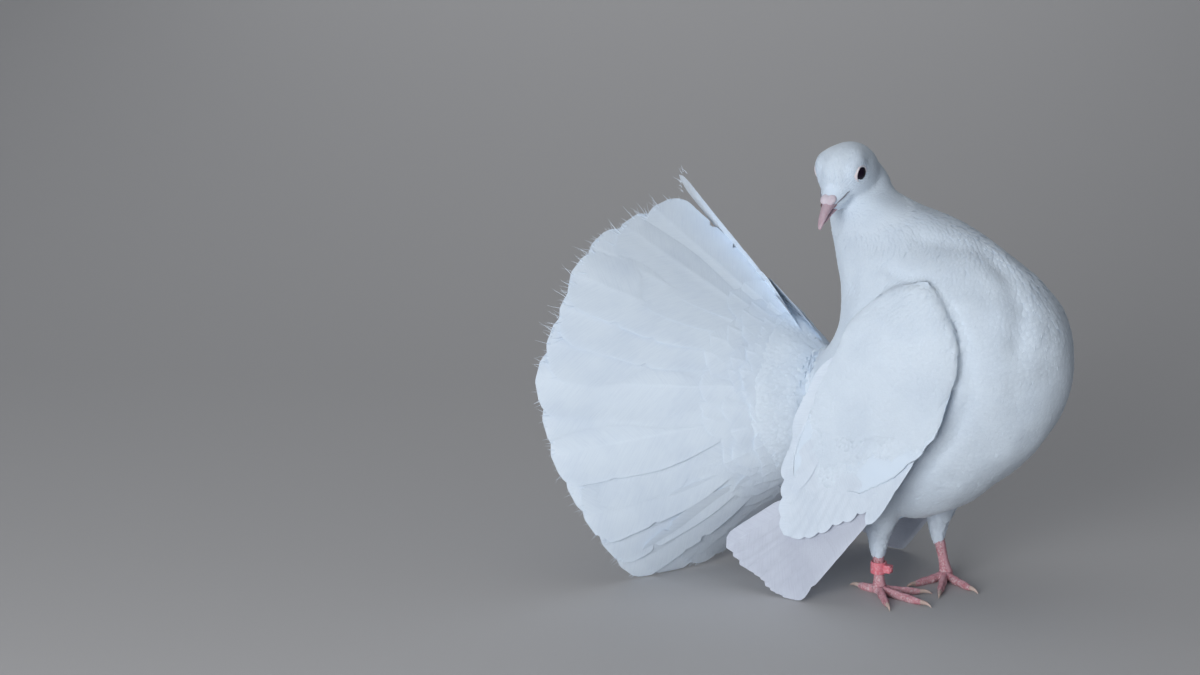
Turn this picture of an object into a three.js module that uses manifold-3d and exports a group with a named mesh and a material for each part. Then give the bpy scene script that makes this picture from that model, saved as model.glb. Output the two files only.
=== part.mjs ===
// A white fantail pigeon, standing, head turned to its right, tail fanned: a still, life-size model.
// Millimetres, +Z up. While it is made the bird faces +X, its left side is +Y and the floor is z = 0.

import * as THREE from 'three';
import { mergeVertices } from 'three/addons/utils/BufferGeometryUtils.js';
import Module from 'manifold-3d';

const wasm = await Module();
wasm.setup();

// Driving dimensions

const GAP = 0.32;                   // air between two nodes that touch
const VANE_THICKNESS = 0.55;        // a feather's vane with its barbs lying flat
const VANE_CLEAR = 0.9;             // between the middle planes of two vanes, where one lies over the other

// Torso and neck as level rings: height, front, back, half width, and how far the ring lies to the left
const BODY_LEVELS = [
  [43, 8, 8, 0, 0],
  [49, 27, -11, 22, 0],
  [70, 56, -42, 37, 0],
  [90, 76, -60, 44.5, 0],
  [113, 89, -62, 47.5, 0],
  [142, 94, -46, 47, 0],
  [164.5, 88.5, -41, 44.5, 0],
  [183, 73, -45, 38, 0],
  [200, 49, -51.5, 27.5, 0],
  [212, 21, -54, 21, 0.5],
  [217, 4, -55, 19, 1],
  [223, -14, -57, 17.5, 2],
  [231, -21, -56, 15, 4],
  [244, -38, -38, 0, 4],
];
const BODY_SIDES = 24;

const HEAD = new THREE.Vector3(-38, -8, 233);       // middle of the skull
const SKULL = new THREE.Vector3(16, 21.5, 18);      // its half width, half length and half height
const EYE_RADIUS = 6;
const EYE = new THREE.Vector3(9.2, 9.9, 2.7);       // of the skull's middle: outward, forward, up
const EYE_LOOK = new THREE.Vector3(0.967, 0.14, -0.16);     // the way that it looks: outward, forward, up
const BILL_WIDTH = 7.8;

const TAIL_ROOT = new THREE.Vector3(-42, 0, 104);
const TAIL_ROOT_RADIUS = 17;        // the long feathers start on a ring of this size round the fan's axis
const TAIL_AXIS_DROP = 13.9;        // degrees that the fan's axis falls below level, going back
const TAIL_FEATHERS_PER_SIDE = 16;  // beside the middle one
const TAIL_SPREAD = 158;            // degrees from the middle feather to the last one on each side
const TAIL_FEATHER_WIDTH = 38;
// Degrees round the fan, degrees that a feather leans out from the fan's axis, and its length from the ring
const TAIL_FAN = [
  [0, 56.5, 150], [10, 51.5, 141], [24, 48, 149], [38, 45.6, 158], [55, 43, 159], [72, 41, 163],
  [86, 40.2, 163], [97, 40.6, 156], [110, 41.8, 152], [122, 42.4, 151], [133, 42.2, 146],
  [143, 41.2, 129], [151, 40.3, 116], [160, 39.2, 111],
];
// The fan's left half is folded back a little beside the middle feather: degrees round, and less lean
const TAIL_FOLD = [[0, 0], [10, 4.6], [20, 8], [30, 9.8], [40, 10.2], [60, 7], [85, 2], [105, 0]];

const WING_TOP = new THREE.Vector2(28, 188);        // x and z of the shoulder's top
const WING_FALL = 66.4;             // degrees that the folded wing hangs below level, going back

const HIP_HALF_WIDTH = 22.5;
const ANKLE_FORWARD = { right: -6, left: 8.5 };     // x of each ankle
const FOOT_FORWARD = { right: -5, left: 13 };       // x of each foot's middle
const TARSUS_RADIUS = 2.9;
const ANKLE_HEIGHT = 24.5;
const FOOT_HEIGHT = 7;

const COLOURS = {
  plumage: { color: 0xe9edf1, roughness: 0.85, metalness: 0 },
  eye: { color: 0x120c10, roughness: 0.1, metalness: 0 },
  cere: { color: 0xe6d9da, roughness: 0.7, metalness: 0 },
  bill: { color: 0xd9b9bd, roughness: 0.5, metalness: 0 },
  scaled: { color: 0xb4606c, roughness: 0.6, metalness: 0 },
  claw: { color: 0xc9b3a8, roughness: 0.4, metalness: 0 },
  ring: { color: 0xc8434f, roughness: 0.4, metalness: 0 },
};

// Tools for closed bodies

const radians = THREE.MathUtils.degToRad;
const mix = THREE.MathUtils.lerp;
const point = (x, y, z) => new THREE.Vector3(x, y, z);

let seed = 7;
function draw() {
  seed = (seed * 16807) % 2147483647;
  return seed / 2147483647 - 0.5;
}

// Values at a place on smooth curves through rows of [place, value, value...]
function smooth(rows, place) {
  const last = rows.length - 1;
  const at = THREE.MathUtils.clamp(place, rows[0][0], rows[last][0]);
  const i = Math.max(0, Math.min(last - 1, rows.findIndex((row) => row[0] >= at) - 1));
  const span = rows[i + 1][0] - rows[i][0];
  const t = (at - rows[i][0]) / span;
  const slope = (row, k) => {
    const before = rows[Math.max(0, row - 1)];
    const after = rows[Math.min(last, row + 1)];
    return (after[k] - before[k]) / (after[0] - before[0]);
  };
  return rows[i].slice(1).map((value, n) => {
    const k = n + 1;
    const rise = rows[i + 1][k] - value;
    const first = slope(i, k) * span;
    const second = slope(i + 1, k) * span;
    const square = 3 * rise - 2 * first - second;
    const cube = first + second - 2 * rise;
    return value + t * first + t * t * square + t * t * t * cube;
  });
}

// A closed geometry from corners and triangles, turned so that its faces point out
function closed(corners, triangles) {
  let volume = 0;
  for (const [a, b, c] of triangles) {
    volume += corners[a].dot(corners[b].clone().cross(corners[c]));
  }
  const geometry = new THREE.BufferGeometry();
  const numbers = corners.flatMap((p) => p.toArray());
  geometry.setAttribute('position', new THREE.Float32BufferAttribute(numbers, 3));
  geometry.setIndex(triangles.flatMap(([a, b, c]) => (volume < 0 ? [a, c, b] : [a, b, c])));
  return geometry;
}

// A skin over rings of equally many points; each end is closed by a fan on its middle
function loft(rings) {
  const sides = rings[0].length;
  const corners = rings.flat();
  const triangles = [];
  for (let k = 0; k < rings.length - 1; k++) {
    for (let i = 0; i < sides; i++) {
      const next = (i + 1) % sides;
      const low = k * sides;
      const high = low + sides;
      triangles.push([low + i, low + next, high + next], [low + i, high + next, high + i]);
    }
  }
  for (const [ring, start, turn] of [[rings[0], 0, 1], [rings.at(-1), corners.length - sides, -1]]) {
    const middle = ring.reduce((sum, p) => sum.add(p), point(0, 0, 0)).divideScalar(sides);
    corners.push(middle);
    for (let i = 0; i < sides; i++) {
      const next = (i + 1) % sides;
      const fan = [corners.length - 1, start + next, start + i];
      triangles.push(turn > 0 ? fan : [fan[0], fan[2], fan[1]]);
    }
  }
  return closed(corners, triangles);
}

// A column of level rings: stations of { at, radius }
function column(stations, sides) {
  return loft(stations.map(({ at, radius }) => Array.from({ length: sides }, (_, i) => {
    const turn = (2 * Math.PI * i) / sides;
    return point(at.x + radius * Math.cos(turn), at.y + radius * Math.sin(turn), at.z);
  })));
}

// A round tube through stations of { at, radius, tall }, each ring in the plane across its direction
function tube(stations, sides) {
  const up = point(0, 0, 1);
  return loft(stations.map(({ at, radius, tall = radius }, k) => {
    const before = stations[Math.max(0, k - 1)].at;
    const after = stations[Math.min(stations.length - 1, k + 1)].at;
    const along = after.clone().sub(before).normalize();
    const side = along.clone().cross(up).normalize();
    const top = side.clone().cross(along);
    return Array.from({ length: sides }, (_, i) => {
      const turn = (2 * Math.PI * i) / sides;
      const sideways = at.clone().addScaledVector(side, radius * Math.cos(turn));
      return sideways.addScaledVector(top, tall * Math.sin(turn));
    });
  }));
}

// A feather's vane: stations of { left, right, out }, two edge points and the way that its upper face looks.
// With room, it is that much larger all round: the space that its neighbour leaves free.
function vane(stations, room = 0) {
  const corners = [];
  stations.forEach(({ left, right, out }, k) => {
    const half = VANE_THICKNESS / (k === stations.length - 1 ? 4 : 2) + room;
    const widen = left.clone().sub(right).setLength(room);
    const [wideLeft, wideRight] = [left.clone().add(widen), right.clone().sub(widen)];
    for (const lift of [half, -half]) {
      corners.push(wideLeft.clone().addScaledVector(out, lift), wideRight.clone().addScaledVector(out, lift));
    }
  });
  const triangles = [];
  for (let k = 0; k < stations.length - 1; k++) {
    const [a, b, c, d] = [0, 1, 2, 3].map((n) => 4 * k + n);
    const [e, f, g, h] = [4, 5, 6, 7].map((n) => 4 * k + n);
    triangles.push([a, b, f], [a, f, e], [c, h, d], [c, g, h], [c, a, e], [c, e, g], [b, d, h], [b, h, f]);
  }
  const end = 4 * (stations.length - 1);
  triangles.push([0, 2, 3], [0, 3, 1], [end, end + 3, end + 2], [end, end + 1, end + 3]);
  return closed(corners, triangles);
}

function solid(geometry) {
  const bare = geometry.clone();
  bare.deleteAttribute('normal');
  bare.deleteAttribute('uv');
  const merged = mergeVertices(bare, 1e-4);
  return new wasm.Manifold(new wasm.Mesh({
    numProp: 3,
    vertProperties: new Float32Array(merged.attributes.position.array),
    triVerts: new Uint32Array(merged.index.array),
  }));
}

// The same body with its skin moved out by a distance
function swollen(geometry, distance = GAP) {
  const bare = geometry.clone();
  bare.deleteAttribute('normal');
  bare.deleteAttribute('uv');
  const merged = mergeVertices(bare, 1e-4);
  merged.computeVertexNormals();
  const { position, normal } = merged.attributes;
  for (let i = 0; i < position.count; i++) {
    const moved = point(position.getX(i), position.getY(i), position.getZ(i));
    moved.addScaledVector(point(normal.getX(i), normal.getY(i), normal.getZ(i)), distance);
    position.setXYZ(i, moved.x, moved.y, moved.z);
  }
  return solid(merged);
}

const joined = (solids) => solids.reduce((sum, next) => sum.add(next));

// The largest closed surface of a solid, as a geometry
function geometryOf(body) {
  const bulk = (piece) => Math.abs(piece.volume());
  const largest = body.decompose().reduce((best, piece) => (bulk(piece) > bulk(best) ? piece : best));
  const mesh = largest.getMesh();
  const geometry = new THREE.BufferGeometry();
  geometry.setAttribute('position', new THREE.Float32BufferAttribute(mesh.vertProperties, 3));
  geometry.setIndex(Array.from(mesh.triVerts));
  return geometry;
}

// Everything on the side of a plane that its normal points to
function beyond(origin, normal) {
  const size = 800;
  const box = new THREE.BoxGeometry(size, size, size).translate(0, 0, size / 2);
  box.applyQuaternion(new THREE.Quaternion().setFromUnitVectors(point(0, 0, 1), normal.clone().normalize()));
  return solid(box.translate(origin.x, origin.y, origin.z));
}

const bird = new THREE.Group();
const materials = Object.fromEntries(Object.entries(COLOURS).map(([name, look]) => [
  name, new THREE.MeshStandardMaterial(look)]));

function add(name, geometry, material) {
  const mesh = new THREE.Mesh(geometry, materials[material]);
  mesh.name = name;
  bird.add(mesh);
}

const sides = { right: -1, left: 1 };
const aboveFloor = beyond(point(0, 0, 0), point(0, 0, 1));

// Torso and neck: one full form, ring on ring

function bodyForm() {
  const squares = BODY_LEVELS.map(([z, front, back, half, across]) => [
    z, (front + back) / 2, ((front - back) / 2) ** 2, half ** 2, across]);
  const bottom = squares[0][0];
  const top = squares.at(-1)[0];
  const rings = [];
  const count = 20;
  for (let k = 0; k <= count; k++) {
    const share = THREE.MathUtils.clamp(k / count, 0.006, 0.994);
    const z = bottom + (top - bottom) * (share - Math.sin(2 * Math.PI * share) / (4 * Math.PI));
    const [x, length, width, y] = smooth(squares, z);
    rings.push(Array.from({ length: BODY_SIDES }, (_, i) => {
      const turn = (2 * Math.PI * i) / BODY_SIDES;
      return point(x + Math.sqrt(Math.max(length, 0.01)) * Math.cos(turn),
        y + Math.sqrt(Math.max(width, 0.01)) * Math.sin(turn), z);
    }));
  }
  return loft(rings);
}

// Head: skull and face, in the skull's own directions: outward, forward (the bird looks to its right), up

const inHead = (out, forward, up) => point(HEAD.x + out, HEAD.y - forward, HEAD.z + up);

function skullForm() {
  const skull = new THREE.SphereGeometry(1, 21, 13).rotateX(Math.PI / 2).scale(SKULL.x, SKULL.y, SKULL.z);
  return skull.translate(HEAD.x, HEAD.y, HEAD.z);
}

function faceForm() {
  return tube([
    { at: inHead(0, 4, -3.5), radius: 12.6, tall: 13 },
    { at: inHead(0, 12, -8.4), radius: 10.2, tall: 10 },
    { at: inHead(0, 18, -12.9), radius: 7.2, tall: 6.6 },
    { at: inHead(0, 21.6, -15.5), radius: 4.8, tall: 4.2 },
  ], 16);
}

const bodyGeometry = bodyForm();
const flesh = joined([solid(bodyGeometry), solid(skullForm()), solid(faceForm())]);
const fleshSwollen = joined([swollen(bodyGeometry), swollen(skullForm()), swollen(faceForm())]);

const headPlane = { at: point(-36, -2, 219), out: point(-0.25, -0.45, 0.86).normalize() };
const neckPlane = { at: point(-50, 0, 152), out: point(-0.5, 0, 0.86).normalize() };
const past = ({ at, out }, distance) => beyond(at.clone().addScaledVector(out, distance), out);

function eyePlace(side) {
  return inHead(side * EYE.x, EYE.y, EYE.z);
}

// A form made round the Z axis, set before the eye so that its axis is the way that the eye looks
function beforeEye(side, form, distance) {
  const look = point(side * EYE_LOOK.x, -EYE_LOOK.y, EYE_LOOK.z).normalize();
  form.applyQuaternion(new THREE.Quaternion().setFromUnitVectors(point(0, 0, 1), look));
  const place = eyePlace(side).addScaledVector(look, distance);
  return solid(form.translate(place.x, place.y, place.z));
}

// The soft swelling that the eye lies in, with the lids as a ring on it
function lids(side) {
  const swelling = new THREE.SphereGeometry(1, 13, 7).rotateX(Math.PI / 2).scale(8.8, 8.8, 5.3);
  return beforeEye(side, swelling, 0.25).add(beforeEye(side, new THREE.TorusGeometry(4.4, 0.6, 4, 13), 4.4));
}

function mouthLine(side) {
  return tube([
    { at: inHead(side * 8.6, 14.6, -7.6), radius: 0.3, tall: 0.2 },
    { at: inHead(side * 7.7, 16.4, -9.1), radius: 0.9, tall: 0.4 },
    { at: inHead(side * 5.6, 19.8, -12.5), radius: 1.1, tall: 0.45 },
    { at: inHead(side * 3.4, 23.2, -16.4), radius: 1.2, tall: 0.45 },
  ], 6);
}

let head = flesh.intersect(past(headPlane, GAP / 2)).add(lids(1)).add(lids(-1));
for (const side of [1, -1]) {
  const ball = new THREE.SphereGeometry(EYE_RADIUS + GAP + 0.2, 12, 8);
  const place = eyePlace(side);
  head = head.subtract(solid(ball.translate(place.x, place.y, place.z))).subtract(solid(mouthLine(side)));
}
add('head', geometryOf(head), 'plumage');
const underHead = flesh.subtract(past(headPlane, -GAP / 2));
add('neck', geometryOf(underHead.intersect(past(neckPlane, GAP / 2))), 'plumage');
add('torso', geometryOf(flesh.subtract(past(neckPlane, -GAP / 2))), 'plumage');

for (const [name, side] of Object.entries({ left: 1, right: -1 })) {
  const ball = new THREE.SphereGeometry(EYE_RADIUS, 14, 9);
  const place = eyePlace(side);
  add(`eye_${name}`, geometryOf(solid(ball.translate(place.x, place.y, place.z))), 'eye');
}

// Bill: both halves curve down to a fine tip; the cere is two soft swellings on its root

function billHalf(rows) {
  const rings = rows.map(([half, topForward, topUp, lowForward, lowUp]) => {
    const count = 12;
    return Array.from({ length: count }, (_, i) => {
      const turn = (2 * Math.PI * i) / count;
      const share = 0.5 + 0.5 * Math.sin(turn);
      return inHead(half * Math.cos(turn), lowForward + (topForward - lowForward) * share,
        lowUp + (topUp - lowUp) * share);
    });
  });
  return loft(rings);
}

const upperBill = billHalf([
  [BILL_WIDTH / 2, 17.4, -7.6, 13.9, -13.1],
  [BILL_WIDTH / 2, 21.9, -11.4, 17.9, -15.1],
  [BILL_WIDTH / 2.6, 26.1, -16.1, 22.3, -18.1],
  [BILL_WIDTH / 3.4, 29.2, -20.9, 26.8, -21.6],
  [BILL_WIDTH / 7, 30.9, -25, 29.9, -25.4],
  [0.35, 31.2, -26.9, 30.8, -27.1],
]);
const lowerBill = billHalf([
  [BILL_WIDTH / 2.2, 13.3, -13.8, 13.9, -17.1],
  [BILL_WIDTH / 2.3, 17.4, -15.7, 18, -18.7],
  [BILL_WIDTH / 3, 21.9, -18.7, 21.9, -20.7],
  [BILL_WIDTH / 4.4, 26.2, -22.2, 25.6, -23.4],
  [0.4, 28.9, -25.1, 28.6, -25.4],
]);
const headSwollen = joined([swollen(skullForm()), swollen(faceForm())]);
add('bill_upper', geometryOf(solid(upperBill).subtract(headSwollen)), 'bill');
add('bill_lower', geometryOf(solid(lowerBill).subtract(headSwollen).subtract(swollen(upperBill))), 'bill');

function cereSwelling(side) {
  const form = new THREE.SphereGeometry(1, 10, 7).scale(2.9, 3.5, 2.3).rotateX(radians(46));
  const place = inHead(side * 2.2, 22.6, -11.8);
  return solid(form.translate(place.x, place.y, place.z));
}

function nostril(side) {
  return solid(tube([
    { at: inHead(side * 5, 20.6, -14.2), radius: 0.35 },
    { at: inHead(side * 4.4, 23.5, -16.8), radius: 0.4 },
  ], 6));
}

const cere = cereSwelling(1).add(cereSwelling(-1)).subtract(nostril(1)).subtract(nostril(-1));
add('cere', geometryOf(cere.subtract(headSwollen).subtract(swollen(upperBill))), 'cere');

// Tail: a fan of long feathers round the root, the middle one on top and each side laid under it in turn

const tailAxis = point(-Math.cos(radians(TAIL_AXIS_DROP)), 0, -Math.sin(radians(TAIL_AXIS_DROP)));
const tailUp = point(-Math.sin(radians(TAIL_AXIS_DROP)), 0, Math.cos(radians(TAIL_AXIS_DROP)));
const TAIL_STEP = TAIL_SPREAD / TAIL_FEATHERS_PER_SIDE;
const TAIL_SHEATH = { middle: 27, half: 17, thick: 7 };     // the fleshy root, measured along a feather
const tailLean = (angle) => radians(smooth(TAIL_FAN, Math.abs(angle))[0] - smooth(TAIL_FOLD, angle)[0]);
const tailLength = (angle) => smooth(TAIL_FAN, Math.abs(angle))[1];

// The middle line of a feather: signed degrees round the fan (right is negative) and distance from the ring
function tailLine(angle, reach) {
  const lean = tailLean(angle);
  const round = radians(angle);
  const radius = TAIL_ROOT_RADIUS + reach * Math.sin(lean);
  return TAIL_ROOT.clone().addScaledVector(tailAxis, reach * Math.cos(lean))
    .addScaledVector(tailUp, radius * Math.cos(round))
    .addScaledVector(point(0, 1, 0), radius * Math.sin(round));
}

// Directions there: along the feather, across the fan to its left, and out of its upper face
function tailFrame(angle, reach) {
  const along = tailLine(angle, reach + 1).sub(tailLine(angle, reach)).normalize();
  const onFold = Math.abs(angle) < 2;
  const across = tailLine(angle + 1, reach).sub(tailLine(onFold ? angle : angle - 1, reach)).normalize();
  const out = along.clone().cross(across).normalize();
  if (out.dot(tailAxis) > 0) {
    out.negate();
  }
  return { across, out };
}

function tailFeather(angle, { from, length, width, height, shape, spacing = TAIL_STEP }, room = 0) {
  const outer = Math.sign(angle);
  return solid(vane(shape.map(([share, part]) => {
    const reach = from + (length - from) * share;
    const { across, out } = tailFrame(angle, reach);
    const half = (width * part) / 2;
    const step = tailLine(angle + spacing / 2, reach).distanceTo(tailLine(angle - spacing / 2, reach));
    const roundness = (TAIL_ROOT_RADIUS + reach * Math.sin(tailLean(angle))) / Math.cos(tailLean(angle));
    const clear = VANE_CLEAR + (step * Math.max(0, 2 * half - step)) / (2 * roundness);
    const tilt = (half * clear) / step;
    const middle = tailLine(angle, reach).addScaledVector(out, height + (outer === 0 ? tilt : 0));
    const edge = (way) => middle.clone().addScaledVector(across, way * half)
      .addScaledVector(out, way * outer * tilt);
    return { left: edge(1), right: edge(-1), out };
  }), room));
}

// Shares of the length and of the width, from the quill in the root to the rounded end
const LONG_SHAPE = [[0, 0.05], [0.2, 0.1], [0.38, 0.48], [0.84, 1], [0.96, 0.78], [1, 0.24]];
const SHORT_SHAPE = [[0, 0.14], [0.3, 0.4], [0.84, 0.95], [1, 0.3]];

function tailSheath(from, to) {
  const steps = Math.round((to - from) / 16);
  const rings = [];
  for (let k = 0; k <= steps; k++) {
    const angle = from + ((to - from) * k) / steps;
    const count = 8;
    rings.push(Array.from({ length: count }, (_, i) => {
      const turn = (2 * Math.PI * i) / count;
      const reach = TAIL_SHEATH.middle + TAIL_SHEATH.half * Math.cos(turn);
      return tailLine(angle, reach)
        .addScaledVector(tailFrame(angle, reach).out, TAIL_SHEATH.thick * Math.sin(turn));
    }));
  }
  return loft(rings);
}

const reachOf = Object.fromEntries(
  Array.from({ length: 2 * TAIL_FEATHERS_PER_SIDE + 1 }, (_, i) => i - TAIL_FEATHERS_PER_SIDE)
    .map((n) => [n, tailLength(n * TAIL_STEP) + 5 * draw()]));

// The short feathers over the roots of the long ones: how many for each long one, and their look
const COVERTS = [
  { share: 0.8, length: 88, width: 27, height: 3.6 },       // before the fan
  { share: 0.6, length: 76, width: 30, height: -4.2 },      // behind it
];

// The feathers of one sector of the fan, evenly spread between its borders
function tailFeathers(first, last, room) {
  const feathers = [];
  for (let n = first; n <= last; n++) {
    feathers.push(tailFeather(n * TAIL_STEP, {
      from: 20, length: reachOf[n], width: TAIL_FEATHER_WIDTH, height: 0, shape: LONG_SHAPE }, room));
  }
  const spread = last - first + 1;
  for (const { share, ...look } of COVERTS) {
    const count = Math.round(spread * share + (first < 0 && last > 0 ? 0.5 : 0));
    const spacing = (spread * TAIL_STEP) / count;
    for (let k = 0; k < count; k++) {
      const angle = (first - 0.5) * TAIL_STEP + (k + 0.5) * spacing;
      feathers.push(tailFeather(angle, { from: 26, shape: SHORT_SHAPE, spacing, ...look }, room));
    }
  }
  return feathers;
}

function tailSector(first, last) {
  const margin = 0.45;
  const sheath = solid(tailSheath((first - 0.5) * TAIL_STEP + margin, (last + 0.5) * TAIL_STEP - margin));
  const sector = joined([sheath, ...tailFeathers(first, last, 0)]);
  return sector.subtract(fleshSwollen).intersect(aboveFloor);
}

const TAIL_SECTORS = [['upper', 3, 7], ['side', 8, 12], ['lower', 13, 16]];
add('tail_middle', geometryOf(tailSector(-2, 2)), 'plumage');
for (const [name, side] of Object.entries(sides)) {
  let above = tailFeathers(-2, 2, GAP);
  for (const [place, first, last] of TAIL_SECTORS) {
    const ends = [side * first, side * last].sort((a, b) => a - b);
    add(`tail_${name}_${place}`, geometryOf(tailSector(...ends).subtract(joined(above))), 'plumage');
    above = tailFeathers(...ends, GAP);
  }
}

// Wings: folded and hung low. Places on a wing are its distance down from the shoulder's top,
// its distance forward of the middle line, and its height off the flank.

const wingDown = new THREE.Vector2(-Math.cos(radians(WING_FALL)), -Math.sin(radians(WING_FALL)));
const wingFront = new THREE.Vector2(Math.sin(radians(WING_FALL)), -Math.cos(radians(WING_FALL)));
const FLANK = [[0, 58], [50, 53], [100, 49.5], [125, 48.6], [150, 46.5], [170, 43], [186, 39.5], [200, 36]];
const ROW_SLANT = 0.45;             // how much lower a row of feathers lies for each millimetre back

function wingPoint(side, down, front, height) {
  const x = WING_TOP.x + down * wingDown.x + front * wingFront.x;
  const z = WING_TOP.y + down * wingDown.y + front * wingFront.y;
  const flank = smooth(FLANK, z)[0] - 0.0022 * Math.max(0, x - 15) ** 2;
  return point(x, side * (flank + height), z);
}

// The arm and hand under their small feathers: row, rear edge, front edge, inner height, outer height
const ARM_ROWS = [
  [2, -4, 2, 2.5, 3],
  [8, -14, 8, -4, 5.5],
  [18, -22, 19, -4, 8],
  [31, -26.5, 31, -4, 9.6],
  [51, -27, 42, -4, 10.4],
  [69, -27, 46, -2.5, 10.2],
  [82, -26, 48, 0.8, 9.4],
  [93, -25, 49, 3, 8.4],
  [112, -23, 44, 3.6, 6.4],
  [118, -20, 38, 4.2, 5.2],
];

function armForm(side) {
  const count = 9;
  const rings = [];
  const [first, last] = [ARM_ROWS[0][0], ARM_ROWS.at(-1)[0]];
  for (let k = 0; k <= count; k++) {
    const row = first + ((last - first) * k) / count;
    const [rear, front, inner, outer] = smooth(ARM_ROWS, row);
    const points = 14;
    rings.push(Array.from({ length: points }, (_, i) => {
      const turn = (2 * Math.PI * i) / points;
      const across = (rear + front) / 2 + ((front - rear) / 2) * Math.cos(turn);
      return wingPoint(side, row - ROW_SLANT * across, across,
        (inner + outer) / 2 + ((outer - inner) / 2) * Math.sin(turn));
    }));
  }
  return loft(rings);
}

function wingFeather(side, root, tip, { width, height, step, shape, settled = 0.3 }, room) {
  const way = tip.clone().sub(root).normalize();
  const across = new THREE.Vector2(-way.y, way.x);
  if (across.y < 0) {
    across.negate();
  }
  return solid(vane(shape.map(([share, part]) => {
    const half = (width * part) / 2;
    const tilt = (half * VANE_CLEAR) / step;
    const at = root.clone().lerp(tip, share);
    const lift = mix(height[0], height[1], Math.min(1, share / settled));
    const edge = (turn) => wingPoint(side, at.x + turn * half * across.x, at.y + turn * half * across.y,
      lift + turn * tilt);
    return { left: edge(1), right: edge(-1), out: point(0, side, 0) };
  }), room));
}

const WING_SHAPE = [[0, 0.1], [0.14, 0.2], [0.42, 0.9], [0.88, 0.9], [1, 0.3]];

// A row of feathers from the front to the rear edge of the wing
function wingRow(side, count, place, look, room = 0) {
  return Array.from({ length: count }, (_, n) => {
    const [root, tip] = place(n / (count - 1));
    return wingFeather(side, root, tip, look, room);
  });
}

const onRow = (row, front) => new THREE.Vector2(row - ROW_SLANT * front, front);
const SECONDARY_TIPS = [[0, 125, 29], [0.27, 148, 14], [0.6, 168, -5], [0.82, 152, -14], [1, 128, -19]];

function armFeathers(side) {
  const secondaries = wingRow(side, 9, (share) => [
    onRow(99, mix(25, -17, share)),
    new THREE.Vector2(...smooth(SECONDARY_TIPS, share)),
  ], { width: 14.5, height: [5, 4.6], step: 6.3, shape: WING_SHAPE });
  const greater = wingRow(side, 7, (share) => [
    onRow(83, mix(26, -19, share)),
    onRow(mix(126, 134, share), mix(23, -17, share)),
  ], { width: 14, height: [6.4, 7], step: 7.2, shape: SHORT_SHAPE });
  const median = wingRow(side, 6, (share) => [
    onRow(66, mix(27, -20, share)),
    onRow(mix(102, 108, share), mix(26, -19, share)),
  ], { width: 15, height: [7.6, 9.2], step: 9, shape: SHORT_SHAPE });
  return [...secondaries, ...greater, ...median];
}

const PRIMARY_TIPS = [[0, 200, 11], [0.3, 202, 2], [0.55, 201, -9], [0.8, 200, -23], [1, 197, -36]];

function handFeathers(side, room) {
  const primaries = wingRow(side, 8, (share) => [
    new THREE.Vector2(mix(76, 70, share), mix(41, 38, share)),
    new THREE.Vector2(...smooth(PRIMARY_TIPS, share)),
  ], { width: 14, height: [4.6, 1.7], step: 6.1, shape: WING_SHAPE, settled: 0.16 }, room);
  const coverts = wingRow(side, 3, (share) => [
    new THREE.Vector2(mix(74, 70, share), mix(43, 39, share)),
    new THREE.Vector2(mix(126, 124, share), mix(38, 34, share)),
  ], { width: 8, height: [6, 4.6], step: 4, shape: SHORT_SHAPE }, room);
  return [...primaries, ...coverts];
}

// The hand lies in front of this line on the wing
const wristLine = [new THREE.Vector2(40, 34), new THREE.Vector2(110, 28)];

function wristCut(side, shift) {
  const low = wingPoint(side, wristLine[1].x, wristLine[1].y, 0);
  const high = wingPoint(side, wristLine[0].x, wristLine[0].y, 0);
  const along = high.sub(low).setY(0).normalize();
  const front = along.clone().cross(point(0, 1, 0)).normalize();
  if (front.x < 0) {
    front.negate();
  }
  return beyond(low.addScaledVector(front, shift), front);
}

for (const [name, side] of Object.entries(sides)) {
  const whole = solid(armForm(side)).subtract(fleshSwollen);
  const hand = joined([whole.intersect(wristCut(side, GAP / 2)), ...handFeathers(side, 0)]);
  const armSpace = swollen(armForm(side), 2 * GAP).intersect(wristCut(side, -GAP / 2));
  const handSpace = joined([armSpace, ...handFeathers(side, GAP)]);
  const arm = joined([whole, ...armFeathers(side)]).subtract(handSpace);
  add(`wing_${name}_arm`, geometryOf(arm.subtract(fleshSwollen).intersect(aboveFloor)), 'plumage');
  add(`wing_${name}_hand`, geometryOf(hand.subtract(fleshSwollen).intersect(aboveFloor)), 'plumage');
}

// Legs: a feathered shank, a bare scaly tarsus, a foot of four toes, and claws

const TOES = [
  { name: 'inner', turn: 42, length: 21 },
  { name: 'middle', turn: 0, length: 27 },
  { name: 'outer', turn: -42, length: 22 },
  { name: 'hind', turn: 176, length: 12.5 },
];
const FOOT_HEADING = { right: -8, left: -68 };      // degrees that each foot is turned from straight ahead

function flatSoled(stations, count) {
  const geometry = tube(stations, count);
  const { position } = geometry.attributes;
  for (let i = 0; i < position.count; i++) {
    position.setZ(i, Math.max(0, position.getZ(i)));
  }
  return geometry;
}

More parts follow.
